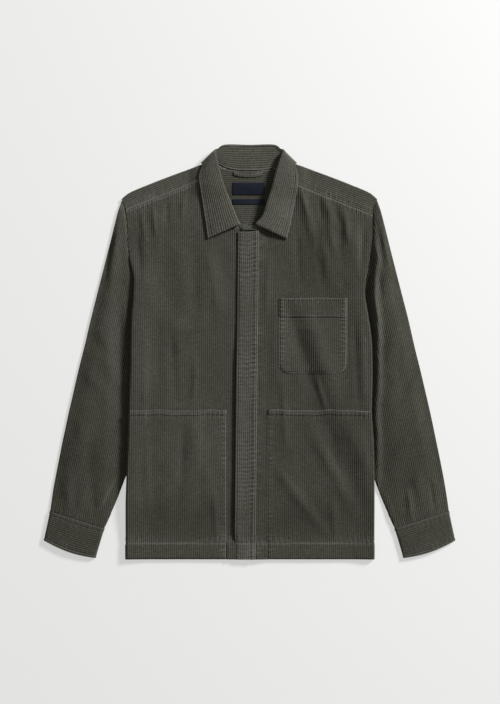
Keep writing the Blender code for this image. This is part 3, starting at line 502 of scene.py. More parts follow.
def yoke_column(sign, nominal):
    """One column of the yoke: its back part up to the middle of the fold, and its front part."""
    widest, narrowest = YOKE_X[0], YOKE_X[-1]

    def place(y):
        if nominal <= narrowest:
            return nominal
        limit = seam_x(sign, y) - SEAM_GAP
        return lerp(narrowest, limit, (nominal - narrowest) / (widest - narrowest))

    in_neck = nominal < narrowest
    fold = read(BACK_NECK, "x", "y", nominal) if in_neck else read(SHOULDERS, "x", "fold", nominal)
    top_of_back = fold if in_neck else fold - FOLD_RADIUS
    back = []
    for fraction in np.linspace(0, 1, 13):
        y = lerp(YOKE_SEAM_Y, top_of_back, fraction)
        back.append((sign * place(y), y, neck_lift(place(y), y)))
    if in_neck:
        return back, None
    base = back[-1][2]
    upper = body_top(back[-1][0], top_of_back)
    half = (upper - base) / 2
    front = []
    for angle in np.linspace(0, math.pi, 9)[1:]:
        y = top_of_back + FOLD_RADIUS * math.sin(angle)
        point = (sign * place(y), y, base + half * (1 - math.cos(angle)))
        if angle <= math.pi / 2:
            back.append(point)
        if angle >= math.pi / 2:
            front.append(point)
    seam = yoke_seam(sign, nominal)
    for _ in range(3):
        seam = yoke_seam(sign, place(seam))
    for fraction in np.linspace(0, 1, 7)[1:]:
        y = lerp(top_of_back, seam, fraction)
        x = sign * place(y)
        front.append((x, y, body_top(x, y)))
    return back, front


def path_lengths(points):
    points = np.array(points)
    steps = np.linalg.norm(np.diff(points, axis=0), axis=1)
    return np.concatenate([[0.0], np.cumsum(steps)])


def yoke_panels():
    """Back part, and left and right front parts, each as rows of columns."""
    names = [(-1, x) for x in YOKE_X + YOKE_NECK_X] + [(1, x) for x in (YOKE_X + YOKE_NECK_X[:-1])[::-1]]
    made = {(sign, x): yoke_column(sign, x) for sign, x in names}
    longest = max(len(back) for back, front in made.values())
    back_part, back_across = [], []
    for key in names:
        back = np.array(made[key][0])
        lengths = path_lengths(back)
        evenly = np.linspace(0, lengths[-1], longest * 2)
        back_part.append(fair(lengths, back, evenly))
        back_across.append(evenly)
    parts = [(np.array(back_part), np.array(back_across))]
    slope = math.cos(math.atan(YOKE_SEAM_FALL))
    for sign in (-1, 1):
        rows, across = [], []
        for x in YOKE_X:
            front = np.array(made[(sign, x)][1])[::-1]
            rows.append(front)
            across.append(path_lengths(front) * slope)
        parts.append((np.array(rows), np.array(across)))
    return parts


YOKE_BACK, YOKE_LEFT, YOKE_RIGHT = yoke_panels()
print("yoke back rows:", YOKE_BACK[0].shape, "front rows:", YOKE_LEFT[0].shape)

# %% [markdown]
# A sleeve is a tube pressed flat, with a real fold at each side. Its cords follow the outer fold
# and run off at the underarm seam, so a point's place is its distance from the outer fold.

# %% Rows of the sleeves and cuffs
ARMHOLE_Y = [273.0, 250.0, 217.0, 190.0, 165.0, 145.0, 125.0, 105.0, 85.0, 62.0, 40.0]
ARMHOLE_CLEAR = 0.5
SLEEVE_STATIONS = 44
SLEEVE_ACROSS = 33
ARC_STEPS = 6


def unit(a, b):
    d = np.array([b[0] - a[0], b[1] - a[1]])
    return d / np.hypot(*d)


def open_ring(bottom, top, inner_radius, outer_radius):
    """A pressed ring as one row: from the inner fold over the top to the outer fold and back below."""
    out, into = -unit(bottom[0], bottom[1]), unit(bottom[-2], bottom[-1])
    first, last = np.array(bottom[0]) - out * outer_radius, np.array(bottom[-1]) - into * inner_radius
    middle = [np.array(p) for p in bottom[1:-1]]
    inner = [(*(last + into * inner_radius * math.sin(a)), top[-1] / 2 * (1 - math.cos(a)))
             for a in np.linspace(math.pi / 2, math.pi, ARC_STEPS // 2 + 1)]
    over = [(*p, z) for p, z in zip(middle[::-1], top[1:-1][::-1])]
    outer = [(*(first + out * outer_radius * math.sin(a)), top[0] / 2 * (1 + math.cos(a)))
             for a in np.linspace(0, math.pi, ARC_STEPS + 1)]
    under = [(*p, 0.0) for p in middle]
    back = [(*(last + into * inner_radius * math.sin(a)), top[-1] / 2 * (1 - math.cos(a)))
            for a in np.linspace(0, math.pi / 2, ARC_STEPS // 2 + 1)]
    return inner + over + outer + under + back


def sleeve_rows(sign):
    armhole_t = np.linspace(0, 1, SLEEVE_ACROSS) * (len(ARMHOLE_Y) - 1)
    armhole_y = np.interp(armhole_t, range(len(ARMHOLE_Y)), ARMHOLE_Y)
    armhole = [(seam_x(sign, y) + ARMHOLE_CLEAR, y) for y in armhole_y]
    shoulder = (SLEEVE_OUTER[0].x + ARMHOLE_CLEAR, armhole_y[0])
    underarm = (SLEEVE_INNER[0].x + ARMHOLE_CLEAR, armhole_y[-1])
    fold_y = np.linspace(273, CUFF_SEAM_OUTER.y, 60)
    fold_x = np.array([read(SLEEVE_OUTER, "y", "x", y) for y in fold_y])
    fold_line = np.stack([sign * fold_x, fold_y], axis=1)
    rows, across = [], []
    for j in range(SLEEVE_STATIONS + 1):
        s = j / SLEEVE_STATIONS
        outer_y = lerp(shoulder[1], CUFF_SEAM_OUTER.y, s)
        outer = (read(SLEEVE_OUTER, "y", "x", outer_y) + ARMHOLE_CLEAR * (s == 0), outer_y)
        inner_y = lerp(underarm[1], CUFF_SEAM_INNER.y, s)
        inner = (read(SLEEVE_INNER, "y", "x", inner_y) + ARMHOLE_CLEAR * (s == 0), inner_y)
        fade = max(1 - s / 0.42, 0.0) ** 1.6
        width = math.hypot(outer[0] - inner[0], outer[1] - inner[1])
        flat, heights = [], []
        for k in range(SLEEVE_ACROSS):
            v = k / (SLEEVE_ACROSS - 1)
            x = lerp(outer[0], inner[0], v) + (armhole[k][0] - lerp(shoulder[0], underarm[0], v)) * fade
            y = lerp(outer[1], inner[1], v) + (armhole[k][1] - lerp(shoulder[1], underarm[1], v)) * fade
            flat.append((sign * x, y))
            heights.append(sleeve_top(sign, sign * x, y, v * width))
        ring = np.array(open_ring(flat, heights, SLEEVE_EDGE_RADIUS, SLEEVE_EDGE_RADIUS + 0.4))
        starts, ends = fold_line[:-1], fold_line[1:]
        run = ends - starts
        t = ((ring[:, None, :2] - starts) * run).sum(2) / (run**2).sum(1)
        near = starts + np.clip(t, 0, 1)[..., None] * run
        away = np.linalg.norm(ring[:, None, :2] - near, axis=2).min(1)
        middle = len(ring) // 2
        order = np.where(np.arange(len(ring)) < middle, -1.0, 1.0)
        steps = np.maximum(np.abs(np.diff(order * away)), 0.02)
        tight = np.linalg.norm(np.diff(ring, axis=0), axis=1)
        folded = np.abs(np.arange(len(steps)) + 0.5 - middle) < ARC_STEPS
        steps = np.where(folded, tight, steps)
        places = np.concatenate([[0.0], np.cumsum(steps)])
        rows.append(ring)
        across.append(places - places[middle])
    return np.array(rows), np.array(across)


CUFF_HEIGHT = 54.0


def cuff_rows(sign):
    """A cuff, with one row for each place round it and points from its seam to its free edge."""
    rings = []
    for s in np.linspace(SEAM_GAP / CUFF_HEIGHT, 1, 7):
        outer = (lerp(CUFF_SEAM_OUTER.x, CUFF_EDGE_OUTER.x, s), lerp(CUFF_SEAM_OUTER.y, CUFF_EDGE_OUTER.y, s))
        inner = (lerp(CUFF_SEAM_INNER.x, CUFF_EDGE_INNER.x, s), lerp(CUFF_SEAM_INNER.y, CUFF_EDGE_INNER.y, s))
        flat, heights = [], []
        for v in np.linspace(0, 1, 21):
            bow = CUFF_BOW * math.sin(math.pi * v) * s
            flat.append((sign * lerp(outer[0], inner[0], v), lerp(outer[1], inner[1], v) - bow))
            heights.append(2 * CUFF_RADIUS + CUFF_CROWN * math.sin(math.pi * v))
        rings.append(open_ring(flat, heights, CUFF_RADIUS, CUFF_RADIUS))
    rows = np.array(rings).transpose(1, 0, 2)
    return rows, np.tile(np.linspace(0, CUFF_HEIGHT, 7), (len(rows), 1))


SLEEVES = {sign: sleeve_rows(sign) for sign in (-1, 1)}
CUFFS = {sign: cuff_rows(sign) for sign in (-1, 1)}
print("sleeve rows:", SLEEVES[1][0].shape, "cuff rows:", CUFFS[1][0].shape)

# %% [markdown]
# The collar is one band. Its leaf turns over at the roll, lies on the fronts, goes over the
# shoulders at a crease and lies on the surface behind the neck.

# %% Rows of the collar
SECTION_STEPS = 5


def spline(rows, steps):
    """Catmull-Rom curve through rows of numbers."""
    points = np.array([row[1:] for row in rows], float)
    ends = np.vstack([2 * points[0] - points[1], points, 2 * points[-1] - points[-2]])
    made = []
    for k in range(1, len(ends) - 2):
        a, b, c, d = ends[k - 1], ends[k], ends[k + 1], ends[k + 2]
        for step in range(steps):
            t = step / steps
            made.append(0.5 * (2 * b + (c - a) * t + (2 * a - 5 * b + 4 * c - d) * t * t
                               + (3 * b - a - 3 * c + d) * t**3))
    made.append(points[-1])
    return made


def turned(sign, front, back):
    """Stations round the crease at the shoulder, from front to back."""
    first, last = np.array(front[1:], float), np.array(back[1:], float)
    made = []
    for k in range(1, TURN_STEPS):
        angle = math.pi * k / TURN_STEPS
        row = first + (last - first) * (1 - math.cos(angle)) / 2
        for point, (way_x, way_y) in enumerate(TURN_WAYS):
            bulge = abs(first[3 * point + 2] - last[3 * point + 2]) / 2 * math.sin(angle)
            row[3 * point] += sign * way_x * bulge
            row[3 * point + 1] += way_y * bulge
        row[9:12] = sign * math.sin(angle), 0.0, math.cos(angle)
        made.append(row)
    return made


def roll_facing(rows, side):
    along = np.gradient(np.array([row[3:5] for row in rows]), axis=0)
    along /= np.linalg.norm(along, axis=1)[:, None]
    return [np.array([side * ty, -side * tx, 0.0]) for tx, ty in along]


def between(first, last):
    steps = [first + (last - first) * k / TURN_STEPS for k in range(1, TURN_STEPS)]
    return [step / np.linalg.norm(step) for step in steps]


def collar_frames(front_end=()):
    """Neckline point, middle of the roll, leaf edge and directions at each station."""
    left, back = spline(COLLAR_LEFT, SECTION_STEPS), spline(COLLAR_BACK, SECTION_STEPS)
    right = spline(COLLAR_RIGHT + list(front_end), SECTION_STEPS)
    left_turn = turned(-1, COLLAR_LEFT[-1], COLLAR_BACK[0])
    right_turn = turned(1, COLLAR_RIGHT[0], COLLAR_BACK[-1])[::-1]
    left_up, back_up, right_up = roll_facing(left, 1), roll_facing(back, -1), roll_facing(right, 1)
    ups = left_up + between(left_up[-1], back_up[0]) + back_up + between(back_up[-1], right_up[0]) + right_up
    frames = []
    for row, up in zip(left + left_turn + back + right_turn + right, ups):
        neck, roll, leaf, out = row[0:3], row[3:6], row[6:9], row[9:12]
        out = out - up * np.dot(out, up)
        out = out / np.linalg.norm(out)
        if out[2] > 0.99:
            leaf = np.array([leaf[0], leaf[1], body_top(leaf[0], leaf[1]) + LEAF / 2 + LEAF_CLEAR])
        centre = roll - up * (ROLL_RADIUS + LEAF / 2)
        frames.append((neck, centre, leaf, up, out))
    return frames


def leaf_rows():
    """Outer face of the leaf, from the roll to its edge."""
    rows, across = [], []
    radius = ROLL_RADIUS + LEAF / 2
    for _, centre, leaf, up, out in collar_frames():
        row = [centre - out * radius * math.cos(a) + up * radius * math.sin(a)
               for a in np.linspace(ROLL_SEAM_ANGLE, math.pi, 9)]
        start = centre + out * ROLL_RADIUS
        for t in np.linspace(0, 1, 9)[1:]:
            point = start + (leaf - start) * t
            height = point[2] + 1.6 * math.sin(math.pi * t) * max(out[2], 0.0)
            if out[2] > 0.99:
                height = max(height, body_top(point[0], point[1]) + LEAF / 2 + LEAF_CLEAR)
            row.append(np.array([point[0], point[1], height]) + out * LEAF / 2)
        rows.append(row)
        across.append(path_lengths(row))
    rows, across = np.array(rows), np.array(across)
    across *= across[:, -1].mean() / across[:, -1:]
    return rows, across


def stand_rows(side):
    """One face of the stand: the inside (-1) or the outside (1)."""
    rows, across = [], []
    for neck, centre, _, up, out in collar_frames([STAND_END]):
        top = centre - out * ROLL_RADIUS - up * STAND_SHORT
        row = [neck + (top - neck) * t + out * side * STAND / 2 for t in np.linspace(0, 1, 7)]
        rows.append(row)
        across.append(path_lengths(row))
    rows, across = np.array(rows), np.array(across)
    across *= 36.0 / across[:, -1:]
    return rows, across


LEAF_FACE = leaf_rows()
STAND_FACES = {side: stand_rows(side) for side in (-1, 1)}
print("leaf rows:", LEAF_FACE[0].shape)

# %% [markdown]
# Cord is the raised rib of corduroy. Each is 3.5 mm wide here, so a skin has four columns of
# points to a cord, running exactly along it, and only a row every few millimetres. A real cord
# is soft and uneven, so the columns wander a little, and creases and puckers are laid over them.

# %% Creases, listed one by one
WALE = 3.5             # from one cord to the next
COLUMN = WALE / 4

BODY_CREASES = [
    Fold("trough beside the long fold", 64, 96, 122, -92, -1.7, 12),
    Fold("below the chest pocket", 118, -40, 140, -112, 1.3, 5),
    Fold("right collar, outer", 92, 296, 108, 236, 1.8, 5),
    Fold("right collar, inner", 86, 226, 92, 104, -1.0, 7),
    Fold("right chest trough", 118, 256, 132, 116, -1.6, 8),
    Fold("right yoke pucker 1", 140, 274, 152, 168, 1.3, 6),
    Fold("right yoke pucker 2", 156, 268, 168, 150, -1.4, 7),
    Fold("right yoke pucker 3", 172, 262, 178, 190, 1.4, 5),
    Fold("right yoke pucker 4", 126, 282, 130, 232, -1.1, 4),
    Fold("left yoke pucker 1", -196, 258, -188, 196, 1.4, 5),
    Fold("left yoke pucker 2", -174, 266, -170, 204, 1.3, 4.5),
    Fold("left yoke pucker 3", -150, 272, -150, 224, -1.2, 5),
    Fold("left yoke pucker 4", -118, 284, -124, 236, 1.1, 5),
    Fold("left armhole trough", -204, 214, -196, 128, -1.5, 6),
    Fold("right armhole trough", 206, 226, 200, 138, -1.5, 6),
    Fold("left chest trough", -104, 214, -98, 64, -0.8, 11),
    Fold("left chest ridge", -84, 150, -88, 10, 0.7, 11),
    Fold("left waist", -142, 40, -136, -92, -1.3, 8),
    Fold("left above the pocket", -96, -20, -104, -100, 1.2, 6),
    Fold("left side", -188, 40, -192, -150, 1.2, 7),
    Fold("right side", 190, 60, 196, -120, -1.3, 7),
    Fold("right beside the fly", 36, 190, 30, 60, 1.2, 6),
    Fold("right below the chest pocket", 60, -52, 66, -180, 1.2, 7),
    Fold("right pocket trough", 142, -116, 160, -250, -0.6, 10),
    Fold("right pocket ridge", 74, -150, 84, -240, 0.7, 9),
    Fold("right pocket hem", 150, -262, 156, -350, 1.2, 7),
    Fold("left pocket trough", -118, -120, -126, -262, -1.4, 8),
    Fold("left pocket ridge", -186, -150, -180, -310, 1.1, 7),
    Fold("left pocket hem", -64, -250, -60, -348, 1.1, 6),
]
SLEEVE_CREASES = [
    Fold("left head 1", -236, 240, -246, 168, 1.2, 5),
    Fold("left head 2", -250, 214, -262, 120, -1.2, 6),
    Fold("left elbow 1", -288, 30, -240, -20, -1.0, 10),
    Fold("left elbow 2", -300, -30, -252, -86, 0.9, 10),
    Fold("left forearm 1", -322, -150, -334, -270, 0.8, 11),
    Fold("left forearm 2", -286, -170, -298, -292, -0.9, 11),
    Fold("left wrist 1", -330, -236, -322, -288, 0.9, 8),
    Fold("left wrist 2", -284, -236, -280, -300, -0.8, 8),
    Fold("left under", -226, 96, -222, -20, 1.2, 6),
    Fold("right head 1", 238, 238, 250, 160, 1.3, 5),
    Fold("right head 2", 226, 190, 238, 96, -1.3, 5),
    Fold("right elbow 1", 292, 40, 240, -14, 1.5, 7),
    Fold("right elbow 2", 304, -24, 262, -96, -1.4, 7),
    Fold("right forearm 1", 326, -110, 278, -176, -1.3, 6),
    Fold("right forearm 2", 334, -196, 284, -236, 1.3, 6),
    Fold("right wrist 1", 326, -232, 334, -290, -1.2, 5),
    Fold("right wrist 2", 286, -246, 292, -306, 1.2, 5),
    Fold("right under", 230, 110, 234, 0, 1.2, 6),
]
UNDER_CREASES = [
    Fold("back middle", -20, 150, 10, -60, 1.2, 12),
    Fold("back left", -104, 120, -84, -120, 1.1, 12),
    Fold("back right", 92, 80, 110, -150, 1.1, 12),
    Fold("back low left", -140, -160, -120, -340, 1.2, 14),
    Fold("back low right", 60, -180, 84, -350, 1.2, 14),
    Fold("yoke left", -150, 290, -60, 250, 0.9, 8),
    Fold("yoke right", 150, 290, 70, 246, 0.9, 8),
    Fold("left elbow, under", -300, 20, -250, -40, 1.2, 8),
    Fold("left wrist, under", -318, -150, -300, -280, 1.0, 7),
    Fold("right elbow, under", 304, 0, 256, -60, 1.2, 8),
    Fold("right wrist, under", 316, -160, 300, -284, 1.0, 7),
]
print("creases:", len(BODY_CREASES + SLEEVE_CREASES + UNDER_CREASES))


def undulation(x, y):
    """Faint unevenness of handled cloth, from a few slow waves."""
    total = 0.30 * np.sin(x / 23.0 + 1.3 * np.sin(y / 61.0)) * np.sin(y / 47.0 + 0.8)
    total += 0.16 * np.sin(x / 9.1 + 2.0 * np.sin(y / 33.0)) * np.sin(y / 21.0 + x / 60.0)
    return total + 0.10 * np.sin(x / 5.3 + y / 17.0) * np.sin(y / 11.0)


def top_relief(x, y):
    """Height that the creases add to the upper side of the garment."""
    beyond = np.interp(y, SIDE_STEPS, SIDE_CURVES["right"])
    on_sleeve = ramp(np.abs(x), beyond - 2, beyond + 10)
    body = 1.3 * fold_height(BODY_CREASES, x, y)
    sleeve = 1.8 * fold_height(SLEEVE_CREASES, x, y)
    calm = ramp(y, -374, -330) * 0.7 + 0.3
    return (body * (1 - on_sleeve) + sleeve * on_sleeve) * calm + undulation(x, y)


def under_relief(x, y):
    """Hollows in the underside. It lies flat, so they only go up."""
    return np.maximum(fold_height(UNDER_CREASES, x, y) + 0.4 * undulation(x, y), 0.0)


Patch = namedtuple("Patch", "name x y across along amount")
# painted light and shade in patches, for broad folds and tilts, and a shadow painted out at the stand's end
PAINTED_PATCHES = [
    Patch("left pocket, low", -125, -300, 95, 32, -0.20),
    Patch("right pocket, low", 110, -302, 80, 34, -0.20),
    Patch("left pocket, inner", -72, -165, 36, 70, 0.14),
    Patch("right pocket, outer", 160, -150, 40, 50, -0.14),
    Patch("right chest", 128, 172, 34, 62, -0.28),
    Patch("left shoulder", -130, 262, 80, 26, 0.12),
    Patch("chest pocket, inner", 62, 30, 14, 66, 0.18),
    Patch("beside the fly", 40, 20, 14, 90, -0.16),
    Patch("right sleeve, low", 300, -190, 50, 60, -0.16),
    Patch("left sleeve, low", -296, -200, 50, 60, -0.14),
    Patch("left sleeve, inner", -246, 20, 16, 120, 0.16),
    Patch("right sleeve, inner", 246, 60, 16, 90, 0.14),
    Patch("right collar point", 62, 238, 34, 30, 0.16),
    Patch("left chest", -110, 60, 60, 90, -0.06),
    Patch("right hem", 120, -360, 110, 14, 0.22),
    Patch("left hem", -120, -360, 110, 14, 0.16),
    Patch("stand end", -4, 229, 15, 8, 0.6),
    Patch("fly hem", -2, -360, 18, 16, 0.30),
    Patch("front beside the pocket", 22, -200, 8, 150, -0.10),
    Patch("left side", -200, -60, 14, 90, 0.10),
    Patch("right side", 206, -40, 10, 120, 0.12),
]
PAINTED_HIGHLIGHT_LINES = [      # painted highlights along lit fold crests and rolls
    Fold("right pocket, long", 110, -126, 208, -308, 0.26, 7),
    Fold("right pocket, inner", 50, -205, 150, -335, 0.22, 6),
    Fold("left sleeve pleat", -240, -226, -276, -294, 0.55, 2.5),
    Fold("right sleeve, under", 246, -250, 266, -306, 0.4, 3),
    Fold("left chest, inner", -70, 190, -50, 60, 0.2, 8),
    Fold("right armhole", 196, 238, 200, 150, 0.25, 5),
    Fold("left sleeve, outer", -262, 190, -300, -20, 0.2, 7),
    Fold("right sleeve, outer", 262, 186, 316, -60, 0.25, 8),
    Fold("right beside the fly", 34, 150, 34, -80, 0.15, 7),
    Fold("right side", 205, 60, 215, -96, 0.28, 5),
    Fold("left lower", -88, -60, -96, -280, 0.15, 9),
]


def painted_patch_level(x, y):
    """Painted light and shade: how much lighter or darker the patches paint the cloth here."""
    total = 1.0
    for patch in PAINTED_PATCHES:
        spread = ((x - patch.x) / patch.across) ** 2 + ((y - patch.y) / patch.along) ** 2
        total = total + patch.amount * np.exp(-spread)
    return total


def wander(x, y):
    """How far a cord strays sideways."""
    return 0.55 * np.sin(y / 43.0 + x / 31.0) * np.sin(x / 17.0) + 0.2 * np.sin(y / 13.0 + x / 7.0)


# %% [markdown]
# One function makes every skin. It reads the coarse rows on fair curves, keeps the columns on
# the cords, cuts them off where the panel ends, and turns each edge in as a maker does. Along a
# sewn line it presses a groove, raises the seam allowance and adds the small puckers of thread.

# %% From coarse rows to a skin
Seam = namedtuple("Seam", "edge distance groove rise pucker stitched")
PUCKER_PERIOD, PUCKER_REACH = 7.8, 7.5
SINK = 1.5             # how far a patch's thin edge comes down on the cloth below
CREST_SHIFT, CREST_WIDTH, GROOVE_WIDTH, EDGE_WEAR_AND_LIGHT_WIDTH = 2.6, 1.5, 1.1, 1.6
HEM_RISE_START, HEM_RISE_END = 32.0, 30.0
STITCH_LIFT, STITCH_FLOOR = 0.15, 0.45     # stitches stay on the cloth and above the surface
EDGES = ("low", "high", "start", "end")
STITCH_PATHS = []


def fill(values, bad):
    """Copies the nearest good column over each bad one."""
    values = values.copy()
    bad = bad.copy()
    columns = range(1, values.shape[1])
    for order, step in ((columns, -1), (range(values.shape[1] - 2, -1, -1), 1)):
        for j in order:
            copy = bad[:, j] & ~bad[:, j + step]
            values[copy, j] = values[copy, j + step]
            bad[copy, j] = False
    return values


def unit_rows(vectors):
    length = np.linalg.norm(vectors, axis=-1, keepdims=True)
    return vectors / np.maximum(length, 1e-9), length[..., 0]


def skin(panel, flip=False, seams=(), walls=None, row_step=6.0, relief="top", painted_light_level=1.0, edge_wear_and_light=0.75,
         hem_rise=None, wavy=0.0, sunk=()):
    """Points, faces and attributes of one skin. walls gives each edge's thickness and turn-in."""
    rows, across = panel
    columns = np.arange(math.floor(across.min() / COLUMN), math.ceil(across.max() / COLUMN) + 1) * COLUMN
    low, high = across[:, 0], across[:, -1]
    dense = np.array([fair(across[i], rows[i], np.clip(columns, low[i], high[i])) for i in range(len(rows))])
    steps = np.linalg.norm(np.diff(dense, axis=0), axis=2)
    along = np.concatenate([[0.0], np.cumsum(np.maximum(np.median(steps, axis=1), 0.05))])
    count = max(3, int(round(along[-1] / row_step)) + 1)
    wanted = np.linspace(0, along[-1], count)
    limits = fair(along, np.stack([low, high], axis=1), wanted)
    points = fair(along, dense.reshape(len(rows), -1), wanted).reshape(count, len(columns), 3)
    place = np.clip(columns[None, :], limits[:, :1], limits[:, 1:])
    distance = {
        "low": place - limits[:, :1], "high": limits[:, 1:] - place,
        "start": np.broadcast_to(wanted[:, None], place.shape),
        "end": np.broadcast_to(along[-1] - wanted[:, None], place.shape),
    }
    tangent, length = unit_rows(np.gradient(points, axis=1))
    bad = length < 0.2 * COLUMN
    tangent = fill(tangent, bad)
    lengthwise, length = unit_rows(np.gradient(points, axis=0))
    lengthwise = fill(lengthwise, length < 0.02)
    normal, length = unit_rows(np.cross(lengthwise, tangent))
    normal = fill(normal, (length < 0.15) | bad) * (-1.0 if flip else 1.0)
    x, y = points[..., 0], points[..., 1]
    facing = smooth(np.clip((normal[..., 2] - 0.2) / 0.6, 0, 1))
    under = smooth(np.clip((-normal[..., 2] - 0.2) / 0.6, 0, 1))
    if relief == "top":
        points[..., 2] += top_relief(x, y) * facing + under_relief(x, y) * under
    # painted highlights along the lit fold crests, on the upward faces
    press_and_highlight = fold_height(PAINTED_HIGHLIGHT_LINES, x, y) * facing if relief == "top" else np.zeros(place.shape)
    lift = np.zeros(place.shape)
    # edges paler: partly real edge wear, partly painted light over the shadow at the edge
    for edge in walls or {}:
        press_and_highlight = np.maximum(press_and_highlight, edge_wear_and_light * np.exp(-((distance[edge] / EDGE_WEAR_AND_LIGHT_WIDTH) ** 2)))
    for seam in seams:
        d = distance[seam.edge]
        run = np.broadcast_to(wanted[:, None], d.shape) if seam.edge in ("low", "high") else place
        d = d + 0.45 * np.sin(run / 31.0) + 0.25 * np.sin(run / 11.0)
        line = np.exp(-(((d - seam.distance) / GROOVE_WIDTH) ** 2))
        crest = np.exp(-(((d - seam.distance + CREST_SHIFT) / CREST_WIDTH) ** 2))
        crest = crest * min(seam.rise, 1.0) * (seam.rise > 0.2)
        lift += seam.rise * (1 - ramp(d, seam.distance - 1.0, seam.distance + 1.6)) - seam.groove * line
        phase = run * 2 * math.pi / PUCKER_PERIOD + 1.7 * np.sin(run / 23.0) + 0.8 * np.sin(run / 8.7)
        phase = phase + 0.37 * seam.distance
        swing = 0.65 + 0.35 * np.sin(run / 31.0)
        waves = (0.8 * np.sin(phase) + 0.5 * np.sin(1.63 * phase + run / 14.0)) * swing
        reach = np.exp(-(((d - seam.distance) / PUCKER_REACH) ** 2))
        lift += seam.pucker * waves * reach
        # painted highlight on the raised seam crest and on the pucker crests, partly real pressed pile
        bars = np.clip(waves, 0, 1) * reach * min(seam.pucker / 0.6, 1.0)
        press_and_highlight = np.maximum.reduce([press_and_highlight, 0.95 * crest, 0.9 * bars])
    edge_distance = np.minimum.reduce([distance[e] for e in EDGES])
    away = ramp(edge_distance, 0, 10)
    for edge in sunk:
        lift = lift * ramp(distance[edge], -1.0, 5.0) - SINK * ramp(distance[edge], 6.0, 0.0)
    if hem_rise is not None:
        lift += ON_PANEL * ramp(distance["end"], HEM_RISE_START, HEM_RISE_END) * hem_rise(x)
    points = points + normal * lift[..., None]
    points = points + tangent * (wander(x, y) * away)[..., None]
    wave = wavy * (np.sin(place / 17.0 + 0.6) + 0.6 * np.sin(place / 7.1)) * ramp(distance["start"], 22, 2)
    points = points + lengthwise * wave[..., None]
    for seam in seams:
        if seam.stitched:
            add_stitch_path(points, normal, columns, limits, wanted, seam)
    return close_edges(points, normal, tangent, lengthwise, columns, limits, place, wanted, press_and_highlight, painted_light_level,
                       walls or {}, flip)


def add_stitch_path(points, normal, columns, limits, wanted, seam):
    """Keeps the line along which a seam is stitched."""
    lifted = points + normal * STITCH_LIFT
    if seam.edge in ("low", "high"):
        at = limits[:, 0] + seam.distance if seam.edge == "low" else limits[:, 1] - seam.distance
        place = np.clip((at - columns[0]) / COLUMN, 0, len(columns) - 1.001)
        k = place.astype(int)
        t = (place - k)[:, None]
        rows = np.arange(len(points))
        path = lifted[rows, k] * (1 - t) + lifted[rows, k + 1] * t
    else:
        at = seam.distance if seam.edge == "start" else wanted[-1] - seam.distance
        i = int(np.clip(np.searchsorted(wanted, at) - 1, 0, len(wanted) - 2))
        t = (at - wanted[i]) / (wanted[i + 1] - wanted[i])
        row = lifted[i] * (1 - t) + lifted[i + 1] * t
        inside = (columns > limits[i, 0] + 1.5) & (columns < limits[i, 1] - 1.5)
        path = row[inside][::3]
    path[:, 2] = np.maximum(path[:, 2], STITCH_FLOOR)
    STITCH_PATHS.append(path)


ROUNDED = ((0.30, 0.35), (0.15, 0.85), (-0.3, 1.0))


def rim(wall):
    """Offsets of the turned edge beyond one end: outwards and inwards through the cloth."""
    if wall is None:
        return []
    thickness, turn_in = wall
    steps = [(out * thickness * 0.6, deep * thickness) for out, deep in ROUNDED]
    if turn_in:
        steps.append((-turn_in, thickness))
    return steps


def close_edges(points, normal, tangent, lengthwise, columns, limits, place, wanted, press_and_highlight, painted_light_level,
                walls, flip):
    """Adds the turned edges and lists the faces."""
    sides = {edge: rim(walls.get(edge)) for edge in EDGES}
    low, high, start, end = (sides[edge] for edge in EDGES)
    rows, cols = place.shape
    col = np.array([0] * len(low) + list(range(cols)) + [cols - 1] * len(high))
    row = np.array([0] * len(start) + list(range(rows)) + [rows - 1] * len(end))
    out_t = np.array([-o for o, _ in low[::-1]] + [0.0] * cols + [o for o, _ in high])
    deep_t = np.array([d for _, d in low[::-1]] + [0.0] * cols + [d for _, d in high])
    out_v = np.array([-o for o, _ in start[::-1]] + [0.0] * rows + [o for o, _ in end])
    deep_v = np.array([d for _, d in start[::-1]] + [0.0] * rows + [d for _, d in end])
    pick = np.ix_(row, col)
    deep = np.maximum(deep_t[None, :], deep_v[:, None])
    full = (points[pick] + tangent[pick] * out_t[None, :, None] + lengthwise[pick] * out_v[:, None, None]
            - normal[pick] * deep[..., None])
    full[..., 2] = np.maximum(full[..., 2], 0.0)     # nothing goes below the surface
    keep = np.ones((len(row) - 1, len(col) - 1), bool)
    for i in range(len(row) - 1):
        lowest = min(limits[row[i], 0], limits[row[i + 1], 0])
        highest = max(limits[row[i], 1], limits[row[i + 1], 1])
        for_columns = (columns[col[1:]] > lowest) & (columns[col[:-1]] < highest)
        rim_columns = (np.arange(len(col) - 1) < len(low)) | (np.arange(len(col) - 1) >= len(low) + cols - 1)
        keep[i] = for_columns | rim_columns
    i, j = np.nonzero(keep)
    width = len(col)
    # painted light and shade: patches on the upward faces, times the piece's own painted brightness
    painted_patches_here = painted_patch_level(full[..., 0], full[..., 1])
    toned = painted_light_level * np.where(normal[pick][..., 2] > 0, painted_patches_here, 1.0)
    first = i * width + j
    corners = np.stack([first, first + width, first + width + 1, first + 1], axis=1)
    faces = corners[:, ::-1] if flip else corners
    return {
        "points": full.reshape(-1, 3), "faces": faces,
        "wale": (place[pick] / WALE).ravel(), "along": np.repeat(wanted[row], width),
        "press_and_highlight": press_and_highlight[pick].ravel(), "painted_light_level": toned.ravel(),
    }


ATTRIBUTES = ("wale", "along", "press_and_highlight", "painted_light_level")


